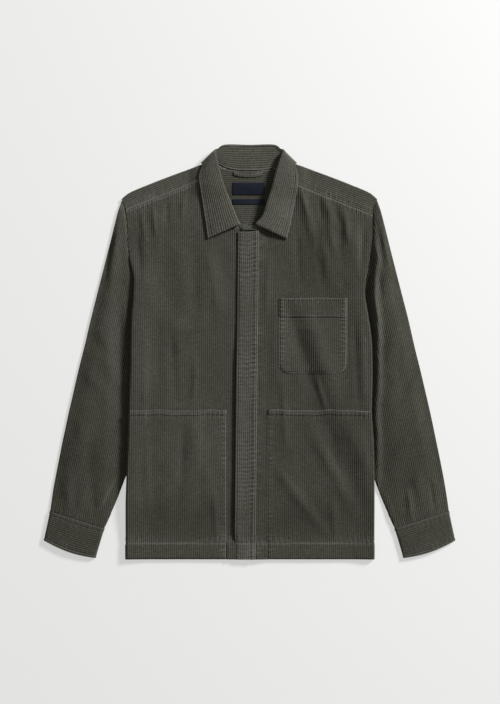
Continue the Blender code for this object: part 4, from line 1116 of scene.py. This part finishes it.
def cloth_object(name, skins):
    """One mesh object from its skins, in metres, with doubled points merged."""
    points, faces, values = [], [], {key: [] for key in ATTRIBUTES}
    base = 0
    for part in skins:
        points.append(part["points"] / 1000)
        faces.append(part["faces"] + base)
        base += len(part["points"])
        for key in ATTRIBUTES:
            values[key].append(part[key])
    points, faces = np.concatenate(points), np.concatenate(faces)
    data = bpy.data.meshes.new(name)
    data.vertices.add(len(points))
    data.vertices.foreach_set("co", points.ravel())
    data.loops.add(faces.size)
    data.loops.foreach_set("vertex_index", faces.ravel())
    data.polygons.add(len(faces))
    data.polygons.foreach_set("loop_start", np.arange(0, faces.size, 4))
    data.update(calc_edges=True)
    for key in ATTRIBUTES:
        layer = data.attributes.new(key, "FLOAT", "POINT")
        layer.data.foreach_set("value", np.concatenate(values[key]).astype(np.float32))
    bm = bmesh.new()
    bm.from_mesh(data)
    bmesh.ops.remove_doubles(bm, verts=bm.verts, dist=2e-6)
    bmesh.ops.dissolve_degenerate(bm, dist=2e-6, edges=bm.edges)
    loose = [vert for vert in bm.verts if not vert.link_faces]
    bmesh.ops.delete(bm, geom=loose, context="VERTS")
    bm.to_mesh(data)
    bm.free()
    data.polygons.foreach_set("use_smooth", np.ones(len(data.polygons), bool))
    made = bpy.data.objects.new(name, data)
    bpy.context.scene.collection.objects.link(made)
    return made


# %% [markdown]
# Node trees are written as sums. A small class wraps a socket, so that `1 - mask` adds its own
# Math node, and one method adds every other node.

# %% A short way to write node trees
class Value:
    """A socket that can be added, multiplied and compared."""

    def __init__(self, tree, socket):
        self.tree, self.socket = tree, socket

    def math(self, operation, *others):
        node = self.tree.add("ShaderNodeMath", {"operation": operation})
        for socket, value in zip(node.inputs, (self,) + others):
            self.tree.feed(socket, value)
        return Value(self.tree, node.outputs[0])

    def __add__(self, other):
        return self.math("ADD", other)

    def __mul__(self, other):
        return self.math("MULTIPLY", other)

    def __sub__(self, other):
        return self.math("SUBTRACT", other)

    def __rsub__(self, other):
        return (self * -1.0) + other

    __radd__ = __add__
    __rmul__ = __mul__


class Tree:
    """A node tree with one way to add a node."""

    def __init__(self, tree):
        self.nodes, self.links = tree.nodes, tree.links

    def feed(self, socket, value):
        if isinstance(value, Value):
            self.links.new(value.socket, socket)
        else:
            socket.default_value = value

    def add(self, kind, settings=None, inputs=None):
        node = self.nodes.new(kind)
        for key, value in (settings or {}).items():
            setattr(node, key, value)
        for key, value in (inputs or {}).items():
            self.feed(node.inputs[key], value)
        return node

    def out(self, kind, settings=None, inputs=None, output=0):
        return Value(self, self.add(kind, settings, inputs).outputs[output])


# %% [markdown]
# The cords and the stitches are Geometry Nodes, because they repeat. The first tree sinks the
# skin between the cords. The second sets a stitch at even steps along every sewn line.

# %% Trees for cords and stitches
CORD_DEPTH = 0.0007     # in metres


def new_geometry_tree(name, sizes):
    group = bpy.data.node_groups.new(name, "GeometryNodeTree")
    group.interface.new_socket("Geometry", in_out="INPUT", socket_type="NodeSocketGeometry")
    group.interface.new_socket("Geometry", in_out="OUTPUT", socket_type="NodeSocketGeometry")
    for label, value in sizes.items():
        socket = group.interface.new_socket(label, in_out="INPUT", socket_type="NodeSocketFloat")
        socket.default_value = value
    tree = Tree(group)
    source = tree.add("NodeGroupInput")
    given = {socket.name: Value(tree, socket) for socket in source.outputs if socket.name}
    return group, tree, given


def cord_tree():
    group, tree, given = new_geometry_tree("Cords", {"Cord depth": CORD_DEPTH, "Pressed flat": 0.7})
    place = tree.out("GeometryNodeInputNamedAttribute", {"data_type": "FLOAT"}, {"Name": "wale"})
    press_and_highlight = tree.out("GeometryNodeInputNamedAttribute", {"data_type": "FLOAT"}, {"Name": "press_and_highlight"})
    ridge = (place.math("FRACT") * math.pi).math("SINE").math("MAXIMUM", 0.0).math("POWER", 0.6)
    depth = (ridge - 1.0) * given["Cord depth"] * (1.0 - press_and_highlight * given["Pressed flat"])
    normal = tree.out("GeometryNodeInputNormal")
    offset = tree.out("ShaderNodeVectorMath", {"operation": "SCALE"}, {0: normal, "Scale": depth})
    moved = tree.out("GeometryNodeSetPosition", None, {"Geometry": given["Geometry"], "Offset": offset})
    real = tree.out("GeometryNodeRealizeInstances", None, {"Geometry": moved})
    dressed = tree.out("GeometryNodeSetMaterial", None, {"Geometry": real, "Material": CORDUROY})
    sink = tree.add("NodeGroupOutput")
    tree.feed(sink.inputs[0], dressed)
    return group


def stitch_tree():
    sizes = {"Stitch pitch": 0.0036, "Stitch length": 0.0027, "Thread width": 0.0009}
    group, tree, given = new_geometry_tree("Stitches", sizes)
    curve = tree.out("GeometryNodeMeshToCurve", None, {"Mesh": given["Geometry"]})
    evenly = tree.out("GeometryNodeResampleCurve", {"mode": "LENGTH"},
                      {"Curve": curve, "Length": given["Stitch pitch"]})
    ball = tree.out("GeometryNodeMeshUVSphere", None, {"Segments": 6, "Rings": 4, "Radius": 0.5})
    size = tree.out("ShaderNodeCombineXYZ", None,
                    {0: given["Stitch length"], 1: given["Thread width"], 2: given["Thread width"]})
    stitch = tree.out("GeometryNodeTransform", None, {"Geometry": ball, "Scale": size})
    heading = tree.out("GeometryNodeInputTangent")
    turn = tree.out("FunctionNodeAlignRotationToVector", {"axis": "X"}, {"Vector": heading})
    uneven = tree.add("FunctionNodeRandomValue", {"data_type": "FLOAT"}, {"Seed": 4})
    for socket in uneven.inputs:
        if socket.type == "VALUE" and socket.name in ("Min", "Max"):
            socket.default_value = 0.8 if socket.name == "Min" else 1.1
    factor = next(socket for socket in uneven.outputs if socket.type == "VALUE")
    placed = tree.out("GeometryNodeInstanceOnPoints", None,
                      {"Points": evenly, "Instance": stitch, "Rotation": turn, "Scale": Value(tree, factor)})
    real = tree.out("GeometryNodeRealizeInstances", None, {"Geometry": placed})
    dressed = tree.out("GeometryNodeSetMaterial", None, {"Geometry": real, "Material": THREAD})
    sink = tree.add("NodeGroupOutput")
    tree.feed(sink.inputs[0], dressed)
    return group


def apply_tree(obj, group, sizes=None):
    """Runs a tree on an object and keeps the result as a plain mesh."""
    modifier = obj.modifiers.new(group.name, "NODES")
    modifier.node_group = group
    for item in group.interface.items_tree:
        if item.in_out == "INPUT" and item.name in (sizes or {}):
            modifier[item.identifier] = sizes[item.name]
    depsgraph = bpy.context.evaluated_depsgraph_get()
    made = bpy.data.meshes.new_from_object(obj.evaluated_get(depsgraph))
    obj.modifiers.remove(modifier)
    made.name = obj.name
    obj.data = made
    return obj


# %% [markdown]
# Corduroy is matt, and its pile lies over in patches, so a cord shows as an uneven line of light
# and dark. The colour follows the cord's own place in the cloth. Painted shade darkens the groove and
# the crown is paler. It is palest where a seam has pressed the pile and where painted highlights lie on
# seam crests, puckers, fold crests and edges. Each piece and some patches are painted lighter or darker
# for light and shade. A sheen gives the soft edge of the pile.

# %% Cloth colours
CLOTH_RED, CLOTH_GREEN, CLOTH_BLUE, BLUE_IN_LIGHT = 0.0560, 0.0550, 0.0370, 0.0060
CLOTH_SHEEN = (0.80, 0.80, 0.74, 1.0)
PATCH_SCALE, FUZZ_SCALE, FUZZ_DEPTH = 26.0, 900.0, 0.0004
THREAD_COLOUR, LABEL_COLOUR = (0.085, 0.083, 0.070), (0.006, 0.008, 0.017)


def new_material(name):
    made = bpy.data.materials.new(name)
    made.use_nodes = True
    tree = Tree(made.node_tree)
    shader = next(node for node in tree.nodes if node.type == "BSDF_PRINCIPLED")
    return made, tree, shader


def corduroy():
    made, tree, shader = new_material("corduroy")
    place = tree.out("ShaderNodeAttribute", {"attribute_name": "wale"}, output=2)
    along = tree.out("ShaderNodeAttribute", {"attribute_name": "along"}, output=2)
    press_and_highlight = tree.out("ShaderNodeAttribute", {"attribute_name": "press_and_highlight"}, output=2)
    painted_light_level = tree.out("ShaderNodeAttribute", {"attribute_name": "painted_light_level"}, output=2)
    here = tree.out("ShaderNodeTexCoord", output=3)
    # painted shade: the grooves between the cords are darker than the crowns
    crown = (place.math("FRACT") * math.pi).math("SINE").math("MAXIMUM", 0.0)
    cord_number = place.math("FLOOR")
    streak_place = tree.out("ShaderNodeCombineXYZ", None, {0: cord_number * 7.31, 1: along * 0.36, 2: 0.0})
    streak = tree.out("ShaderNodeTexNoise", None, {"Vector": streak_place, "Scale": 1.0, "Detail": 2.0})
    patch_noise = tree.out("ShaderNodeTexNoise", None, {"Vector": here, "Scale": PATCH_SCALE, "Detail": 3.0})
    fuzz = tree.out("ShaderNodeTexNoise", None, {"Vector": here, "Scale": FUZZ_SCALE, "Detail": 2.0})
    light = (0.40 + crown * 0.85) * (0.40 + streak * 1.2)
    light = light * (0.80 + patch_noise * 0.40) * (0.80 + fuzz * 0.40)
    # pressed pile with painted highlights, then the painted light and shade of the piece and its patches
    light = light * (1.0 + press_and_highlight * 0.95) * painted_light_level
    # blue rises with the painted light, so lit parts read greyer and painted shade more olive
    blue = light * (CLOTH_BLUE + light * BLUE_IN_LIGHT)
    grey = tree.out("ShaderNodeCombineColor", None, {0: light * CLOTH_RED, 1: light * CLOTH_GREEN, 2: blue})
    tree.feed(shader.inputs["Base Color"], grey)
    tree.feed(shader.inputs["Roughness"], 0.95)
    tree.feed(shader.inputs["Specular IOR Level"], 0.12)
    tree.feed(shader.inputs["Sheen Weight"], 0.16)
    tree.feed(shader.inputs["Sheen Roughness"], 0.55)
    tree.feed(shader.inputs["Sheen Tint"], CLOTH_SHEEN)
    bump = tree.out("ShaderNodeBump", None, {"Height": fuzz, "Strength": 0.35, "Distance": FUZZ_DEPTH})
    tree.feed(shader.inputs["Normal"], bump)
    return made


def plain(name, colour, roughness, fuzz=0.0, scale=1200.0):
    made, tree, shader = new_material(name)
    tree.feed(shader.inputs["Base Color"], (*colour, 1.0))
    tree.feed(shader.inputs["Roughness"], roughness)
    tree.feed(shader.inputs["Specular IOR Level"], 0.2)
    if fuzz:
        here = tree.out("ShaderNodeTexCoord", output=3)
        weave = tree.out("ShaderNodeTexNoise", None, {"Vector": here, "Scale": scale, "Detail": 2.0})
        bump = tree.out("ShaderNodeBump", None, {"Height": weave, "Strength": fuzz, "Distance": 0.0003})
        tree.feed(shader.inputs["Normal"], bump)
    return made


CORDUROY = corduroy()
THREAD = plain("sewing thread", THREAD_COLOUR, 0.7)
WOVEN_LABEL = plain("woven label", LABEL_COLOUR, 0.6, 0.5, 1600.0)
CORD_TREE, STITCH_TREE = cord_tree(), stitch_tree()
print("materials:", [material.name for material in (CORDUROY, THREAD, WOVEN_LABEL)])

# %% [markdown]
# Every cut piece is made the same way: its rows, where it is sewn, and how its edges are turned.
# The fly strip, pockets, back, cuffs and labels follow the outline. The fronts, yoke and collar are
# estimates.


def sew(name, node, skins):
    """Makes a piece from its skins, raises its cords, hangs it on the root body and hides the frame's part it
    stands for.
    """
    made = cloth_object(name, skins)
    apply_tree(made, CORD_TREE, {"Cord depth": CORD_DEPTH})
    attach(made, "root")
    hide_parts(node)
    print(name, len(made.data.polygons) * 2, "triangles")


HEM_LINE, HEM_STITCH = 37.0, 31.0     # from the hem's edge to its seam lines
POCKET_HEM_LINE, POCKET_HEM_STITCH, BACK_HEM_STITCH = 35.0, 29.0, 29.0
EDGE = (CLOTH, 0.0)
HEM = (CLOTH, 10.0)
TUCKED = (CLOTH, -3.0)     # an allowance that goes on beneath the next piece
BENEATH = (0.3, -4.0)

# %% The fronts
EDGE_WALLS = {"low": EDGE, "start": EDGE, "end": HEM}
front_seams = [Seam("end", HEM_STITCH, 1.5, 0.5, 0.30, True), Seam("end", HEM_LINE, 0.0, 0.3, 0.3, False),
               Seam("start", 2.0, 0.0, 0.0, 0.45, False)]


def left_hem(x):
    return ramp(x, LOWER_LEFT_INNER_X - 1, LOWER_LEFT_INNER_X + 0.5)


def right_hem(x):
    beside_pocket = ramp(x, LOWER_RIGHT_INNER_X + 1, LOWER_RIGHT_INNER_X - 0.5)
    return beside_pocket * ramp(x, FLY_EDGE_X - 3, FLY_EDGE_X - 1)


left = skin(LEFT_FRONT, flip=True, seams=front_seams, walls=EDGE_WALLS, painted_light_level=0.97, hem_rise=left_hem)
beside_fly = Seam("low", 40.0, 0.0, 0.0, 0.5, False)
right = skin(RIGHT_FRONT, seams=front_seams + [beside_fly], walls=EDGE_WALLS, painted_light_level=0.88, hem_rise=right_hem,
             row_step=4.0)
sew("cloth_front_left", "front_left", [left])
sew("cloth_front_right", "front_right", [right])

# %% The fly strip and pockets
fly_seams = [
    Seam("high", 7.0, 0.15, 0.45, 0.85, True), Seam("high", 20.0, 0.0, 0.0, 0.45, False),
    Seam("low", 5.0, 0.1, 0.1, 0.42, False),
    Seam("end", HEM_STITCH, 1.5, 0.6, 0.2, True), Seam("end", HEM_LINE, 0.0, 0.3, 0.3, False),
]
fly = skin(FLY, seams=fly_seams, walls={edge: EDGE for edge in EDGES}, painted_light_level=1.17, row_step=2.0, sunk=("low",))
sew("cloth_fly_strip", "placket", [fly])
pocket_seams = [
    Seam("start", 8.0, 1.2, 1.4, 0.35, True), Seam("low", 4.5, 0.5, 0.5, 0.85, True),
    Seam("end", POCKET_HEM_STITCH, 1.6, 0.8, 0.35, True),
    Seam("end", POCKET_HEM_LINE, 0.0, 0.3, 0.35, False),
]
THIN_EDGE = (0.4, 0.0)
pocket_walls = {"low": THIN_EDGE, "start": (CLOTH, 8.0), "end": EDGE}
pocket_way = {"seams": pocket_seams, "walls": pocket_walls, "row_step": 3.0, "wavy": 1.0, "sunk": ("low",)}
lower_left = skin(POCKET_LEFT, flip=True, painted_light_level=1.0, edge_wear_and_light=0.35, **pocket_way)
lower_right = skin(POCKET_RIGHT, painted_light_level=0.90, **pocket_way)
sew("cloth_pocket_left", "lower_pocket_left", [lower_left])
sew("cloth_pocket_right", "lower_pocket_right", [lower_right])
chest_seams = [
    Seam("start", 3.0, 0.2, 0.2, 0.2, True), Seam("start", 30.5, 0.2, 0.1, 0.1, True),
    Seam("start", CHEST_BAND, 1.9, 1.0, 0.0, False), Seam("low", 5.0, 0.4, 0.3, 0.5, True),
    Seam("high", 5.0, 0.4, 0.3, 0.5, True), Seam("end", 5.0, 0.4, 0.3, 0.12, True),
]
chest_walls = {"low": THIN_EDGE, "high": THIN_EDGE, "end": THIN_EDGE, "start": EDGE}
chest = skin(CHEST, seams=chest_seams, walls=chest_walls, painted_light_level=0.95, row_step=1.2, wavy=0.4, edge_wear_and_light=1.1,
             sunk=("low", "high", "end"))
sew("cloth_chest_pocket", "chest_pocket", [chest])

# %% The back and yoke
back = skin(back_rows(), flip=True, walls={"start": EDGE, "end": HEM}, painted_light_level=1.0, row_step=9.0,
            seams=[Seam("end", BACK_HEM_STITCH, 0.3, 0.0, 0.1, False),
                   Seam("start", 1.5, 0.0, 0.0, 0.25, False)])
sew("cloth_back", "back", [back])
yoke_seams = [Seam("low", 5.0, 0.4, 0.55, 0.38, True)]
yoke_back = skin(YOKE_BACK, flip=True, seams=[Seam("low", 5.0, 0.3, 0.0, 0.2, True)],
                 walls={"low": EDGE}, painted_light_level=1.15)
yoke_left = skin(YOKE_LEFT, seams=yoke_seams, walls={"low": EDGE}, painted_light_level=1.22, row_step=4.0)
yoke_right = skin(YOKE_RIGHT, flip=True, seams=[Seam("low", 5.0, 0.6, 0.0, 0.5, True)], walls={"low": EDGE},
                  painted_light_level=1.04, row_step=3.0, edge_wear_and_light=0.0)


def yoke_inside(x, y):
    return CLOTH + neck_lift(x, y)


def inner_yoke():
    """The lining side of the yoke, which shows through the neck."""
    rows, across = [], []
    for x in np.linspace(-66, 66, 23):
        top = read(BACK_NECK, "x", "y", abs(x)) - 0.4
        ys = np.linspace(YOKE_SEAM_Y - 8, top, 15)
        rows.append([(x, y, yoke_inside(x, y)) for y in ys])
        across.append(ys - YOKE_SEAM_Y)
    return np.array(rows), np.array(across)


inside = skin(inner_yoke(), relief=None, walls={"high": (0.8, -8.0)}, painted_light_level=0.96)
sew("cloth_yoke", "yoke", [yoke_back, yoke_left, yoke_right, inside])

# %% The sleeves and cuffs
# A real sleeve may be cut wider than the tube built here.
for sign in (-1, 1):
    name = side_name(sign)
    sleeve = skin(SLEEVES[sign], flip=sign < 0, walls={"start": TUCKED, "end": BENEATH}, row_step=7.0,
                  painted_light_level=0.92 if sign > 0 else 0.98, edge_wear_and_light=0.2,
                  seams=[Seam("end", 2.0, 0.0, 0.0, 0.35, False), Seam("start", 2.0, 0.2, 0.0, 0.30, False)])
    sew("cloth_sleeve_" + name, "sleeve_" + name, [sleeve])
    cuff = skin(CUFFS[sign], flip=sign > 0, row_step=3.0, painted_light_level=0.96 if sign < 0 else 0.90,
                walls={"low": EDGE, "high": (CUFF_WALL, 22.0)}, edge_wear_and_light=0.5,
                seams=[Seam("low", 6.0, 0.5, 0.6, 0.4, True), Seam("high", 5.5, 0.9, 0.3, 0.4, True)])
    sew("cloth_cuff_" + name, "cuff_" + name, [cuff])

# %% The collar
leaf_seams = [Seam("high", 5.5, 0.45, 0.25, 0.15, True), Seam("start", 5.5, 0.45, 0.3, 0.15, True),
              Seam("end", 5.5, 0.45, 0.3, 0.15, True)]
leaf_walls = {"high": (LEAF, 14.0), "start": (LEAF, 8.0), "end": (LEAF, 8.0), "low": (0.8, -2.5)}
leaf = skin(LEAF_FACE, seams=leaf_seams, walls=leaf_walls, painted_light_level=1.25, row_step=4.0, edge_wear_and_light=0.12)
sew("cloth_collar_leaf", "collar_leaf", [leaf])
stand_edge = (STAND, 0.0)
stand_inside = skin(STAND_FACES[-1], relief=None, painted_light_level=1.2, row_step=4.0,
                    walls={"start": stand_edge, "end": stand_edge, "low": stand_edge, "high": (0.6, -2.0)},
                    seams=[Seam("low", 3.0, 0.4, 0.0, 0.2, False)])
stand_outside = skin(STAND_FACES[1], flip=True, relief=None, painted_light_level=1.2, row_step=4.0)
sew("cloth_collar_stand", "collar_stand", [stand_inside, stand_outside])

# %% [markdown]
# The hanger loop and the two labels lie on the inside of the yoke. The labels are left bare.

# %% Loop and labels
LOOP, LABEL_LEFT_X, LABEL_RIGHT_X = 1.4, -30.0, 27.0


def laid_strip(name, node, rows, thickness, material):
    """A thin plain piece from a few rows of its upper face, with its edges turned down."""
    rows = np.array(rows)
    across = np.array([path_lengths(row) for row in rows])
    part = skin((rows, across), relief=None, row_step=1.5,
                walls={edge: (thickness, 0.0) for edge in EDGES})
    made = cloth_object(name, [part])
    made.data.materials.append(material)
    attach(made, "root")
    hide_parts(node)


def label_rows(bottom, top):
    return [[(x, y, yoke_inside(x, y) + LABEL + LAY_GAP + 0.25 * math.sin(x / 9.0) * math.sin(y / 5.0))
             for x in np.linspace(LABEL_LEFT_X, LABEL_RIGHT_X, 15)] for y in np.linspace(top, bottom, 7)]


def loop_rows():
    half_length, width, slack = 26.0, 6.0, 4.0
    rows = []
    for offset in np.linspace(0.0, -width, 5):
        row = []
        for x in np.linspace(-half_length, half_length, 21):
            y = BACK_NECK[0].y - 1.2 - slack * (1 - (x / half_length) ** 2) + offset
            crown = 0.3 * math.sin(math.pi * offset / -width)
            row.append((x - 2.0, y, yoke_inside(x, y) + LOOP + LAY_GAP + crown))
        rows.append(row)
    return rows


# The size label is 9 mm high and the loop 6 mm wide as built.
for label, bottom, top, flat in (("neck_label", 284.0, 306.0, (0.057, 0.022)),
                                 ("size_label", 267.0, 276.0, (0.057, 0.010))):
    laid_strip(label + "_cloth", label, label_rows(bottom, top), LABEL, WOVEN_LABEL)
laid_strip("hanger_loop_cloth", "hanger_loop", loop_rows(), LOOP, CORDUROY)

# %% Stitches
def stitch_object():
    points, edges = [], []
    for path in STITCH_PATHS:
        first = len(points)
        points += [tuple(point / 1000) for point in path]
        edges += [(k, k + 1) for k in range(first, len(points) - 1)]
    data = bpy.data.meshes.new("stitching")
    data.from_pydata(points, edges, [])
    made = bpy.data.objects.new("stitching", data)
    bpy.context.scene.collection.objects.link(made)
    apply_tree(made, STITCH_TREE)
    made.data.polygons.foreach_set("use_smooth", np.ones(len(made.data.polygons), bool))
    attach(made, "root")
    print("stitching:", len(made.data.polygons), "faces on", len(STITCH_PATHS), "lines")


stitch_object()

# %% [markdown]
# The floor is pale and plain. A broad light from the upper right and a bright sky leave soft
# shadows to the left of the fly and below the hem. The camera looks straight down.

# %% Floor, light and camera
FLOOR_SIZE, FLOOR_GREY, FLOOR_GLOW = 12.0, (0.34, 0.34, 0.34, 1.0), 0.52
KEY_PLACE, KEY_SIZE, KEY_POWER = (3.1, 2.3, 2.05), 1.0, 290.0
SKY_COLOUR, SKY_STRENGTH = (1.0, 1.0, 0.9, 1.0), 0.26
CAMERA_X, LENS, SENSOR, FRAME_HEIGHT = 0.0009, 85.0, 36.0, 1.274


def floor():
    bpy.ops.mesh.primitive_plane_add(size=FLOOR_SIZE, location=(0.0, 0.0, 0.0))
    made = bpy.context.object
    made.name = "surface_ground"
    made.data.transform(made.matrix_world)
    made.matrix_world.identity()
    paper, tree, shader = new_material("pale floor")
    tree.feed(shader.inputs["Base Color"], FLOOR_GREY)
    tree.feed(shader.inputs["Roughness"], 0.95)
    tree.feed(shader.inputs["Specular IOR Level"], 0.0)
    tree.feed(shader.inputs["Emission Color"], (1.0, 1.0, 1.0, 1.0))
    tree.feed(shader.inputs["Emission Strength"], FLOOR_GLOW)
    made.data.materials.append(paper)


def area_light(name, place, size, power):
    data = bpy.data.lights.new(name, "AREA")
    data.energy, data.size, data.shape = power, size, "DISK"
    made = bpy.data.objects.new(name, data)
    made.location = place
    made.rotation_euler = (-Vector(place)).to_track_quat("-Z", "Y").to_euler()
    bpy.context.scene.collection.objects.link(made)


floor()
area_light("key", KEY_PLACE, KEY_SIZE, KEY_POWER)
world = bpy.data.worlds.new("studio")
world.use_nodes = True
world.node_tree.nodes["Background"].inputs["Color"].default_value = SKY_COLOUR
world.node_tree.nodes["Background"].inputs["Strength"].default_value = SKY_STRENGTH
bpy.context.scene.world = world
bpy.context.scene.view_settings.view_transform = "Standard"

camera_data = bpy.data.cameras.new("camera")
camera_data.lens, camera_data.sensor_width = LENS, SENSOR
camera = bpy.data.objects.new("camera", camera_data)
camera.location = (CAMERA_X, 0.0, FRAME_HEIGHT * LENS / SENSOR)
bpy.context.scene.collection.objects.link(camera)
bpy.context.scene.camera = camera
print("camera height:", round(camera.location.z, 3), "m")
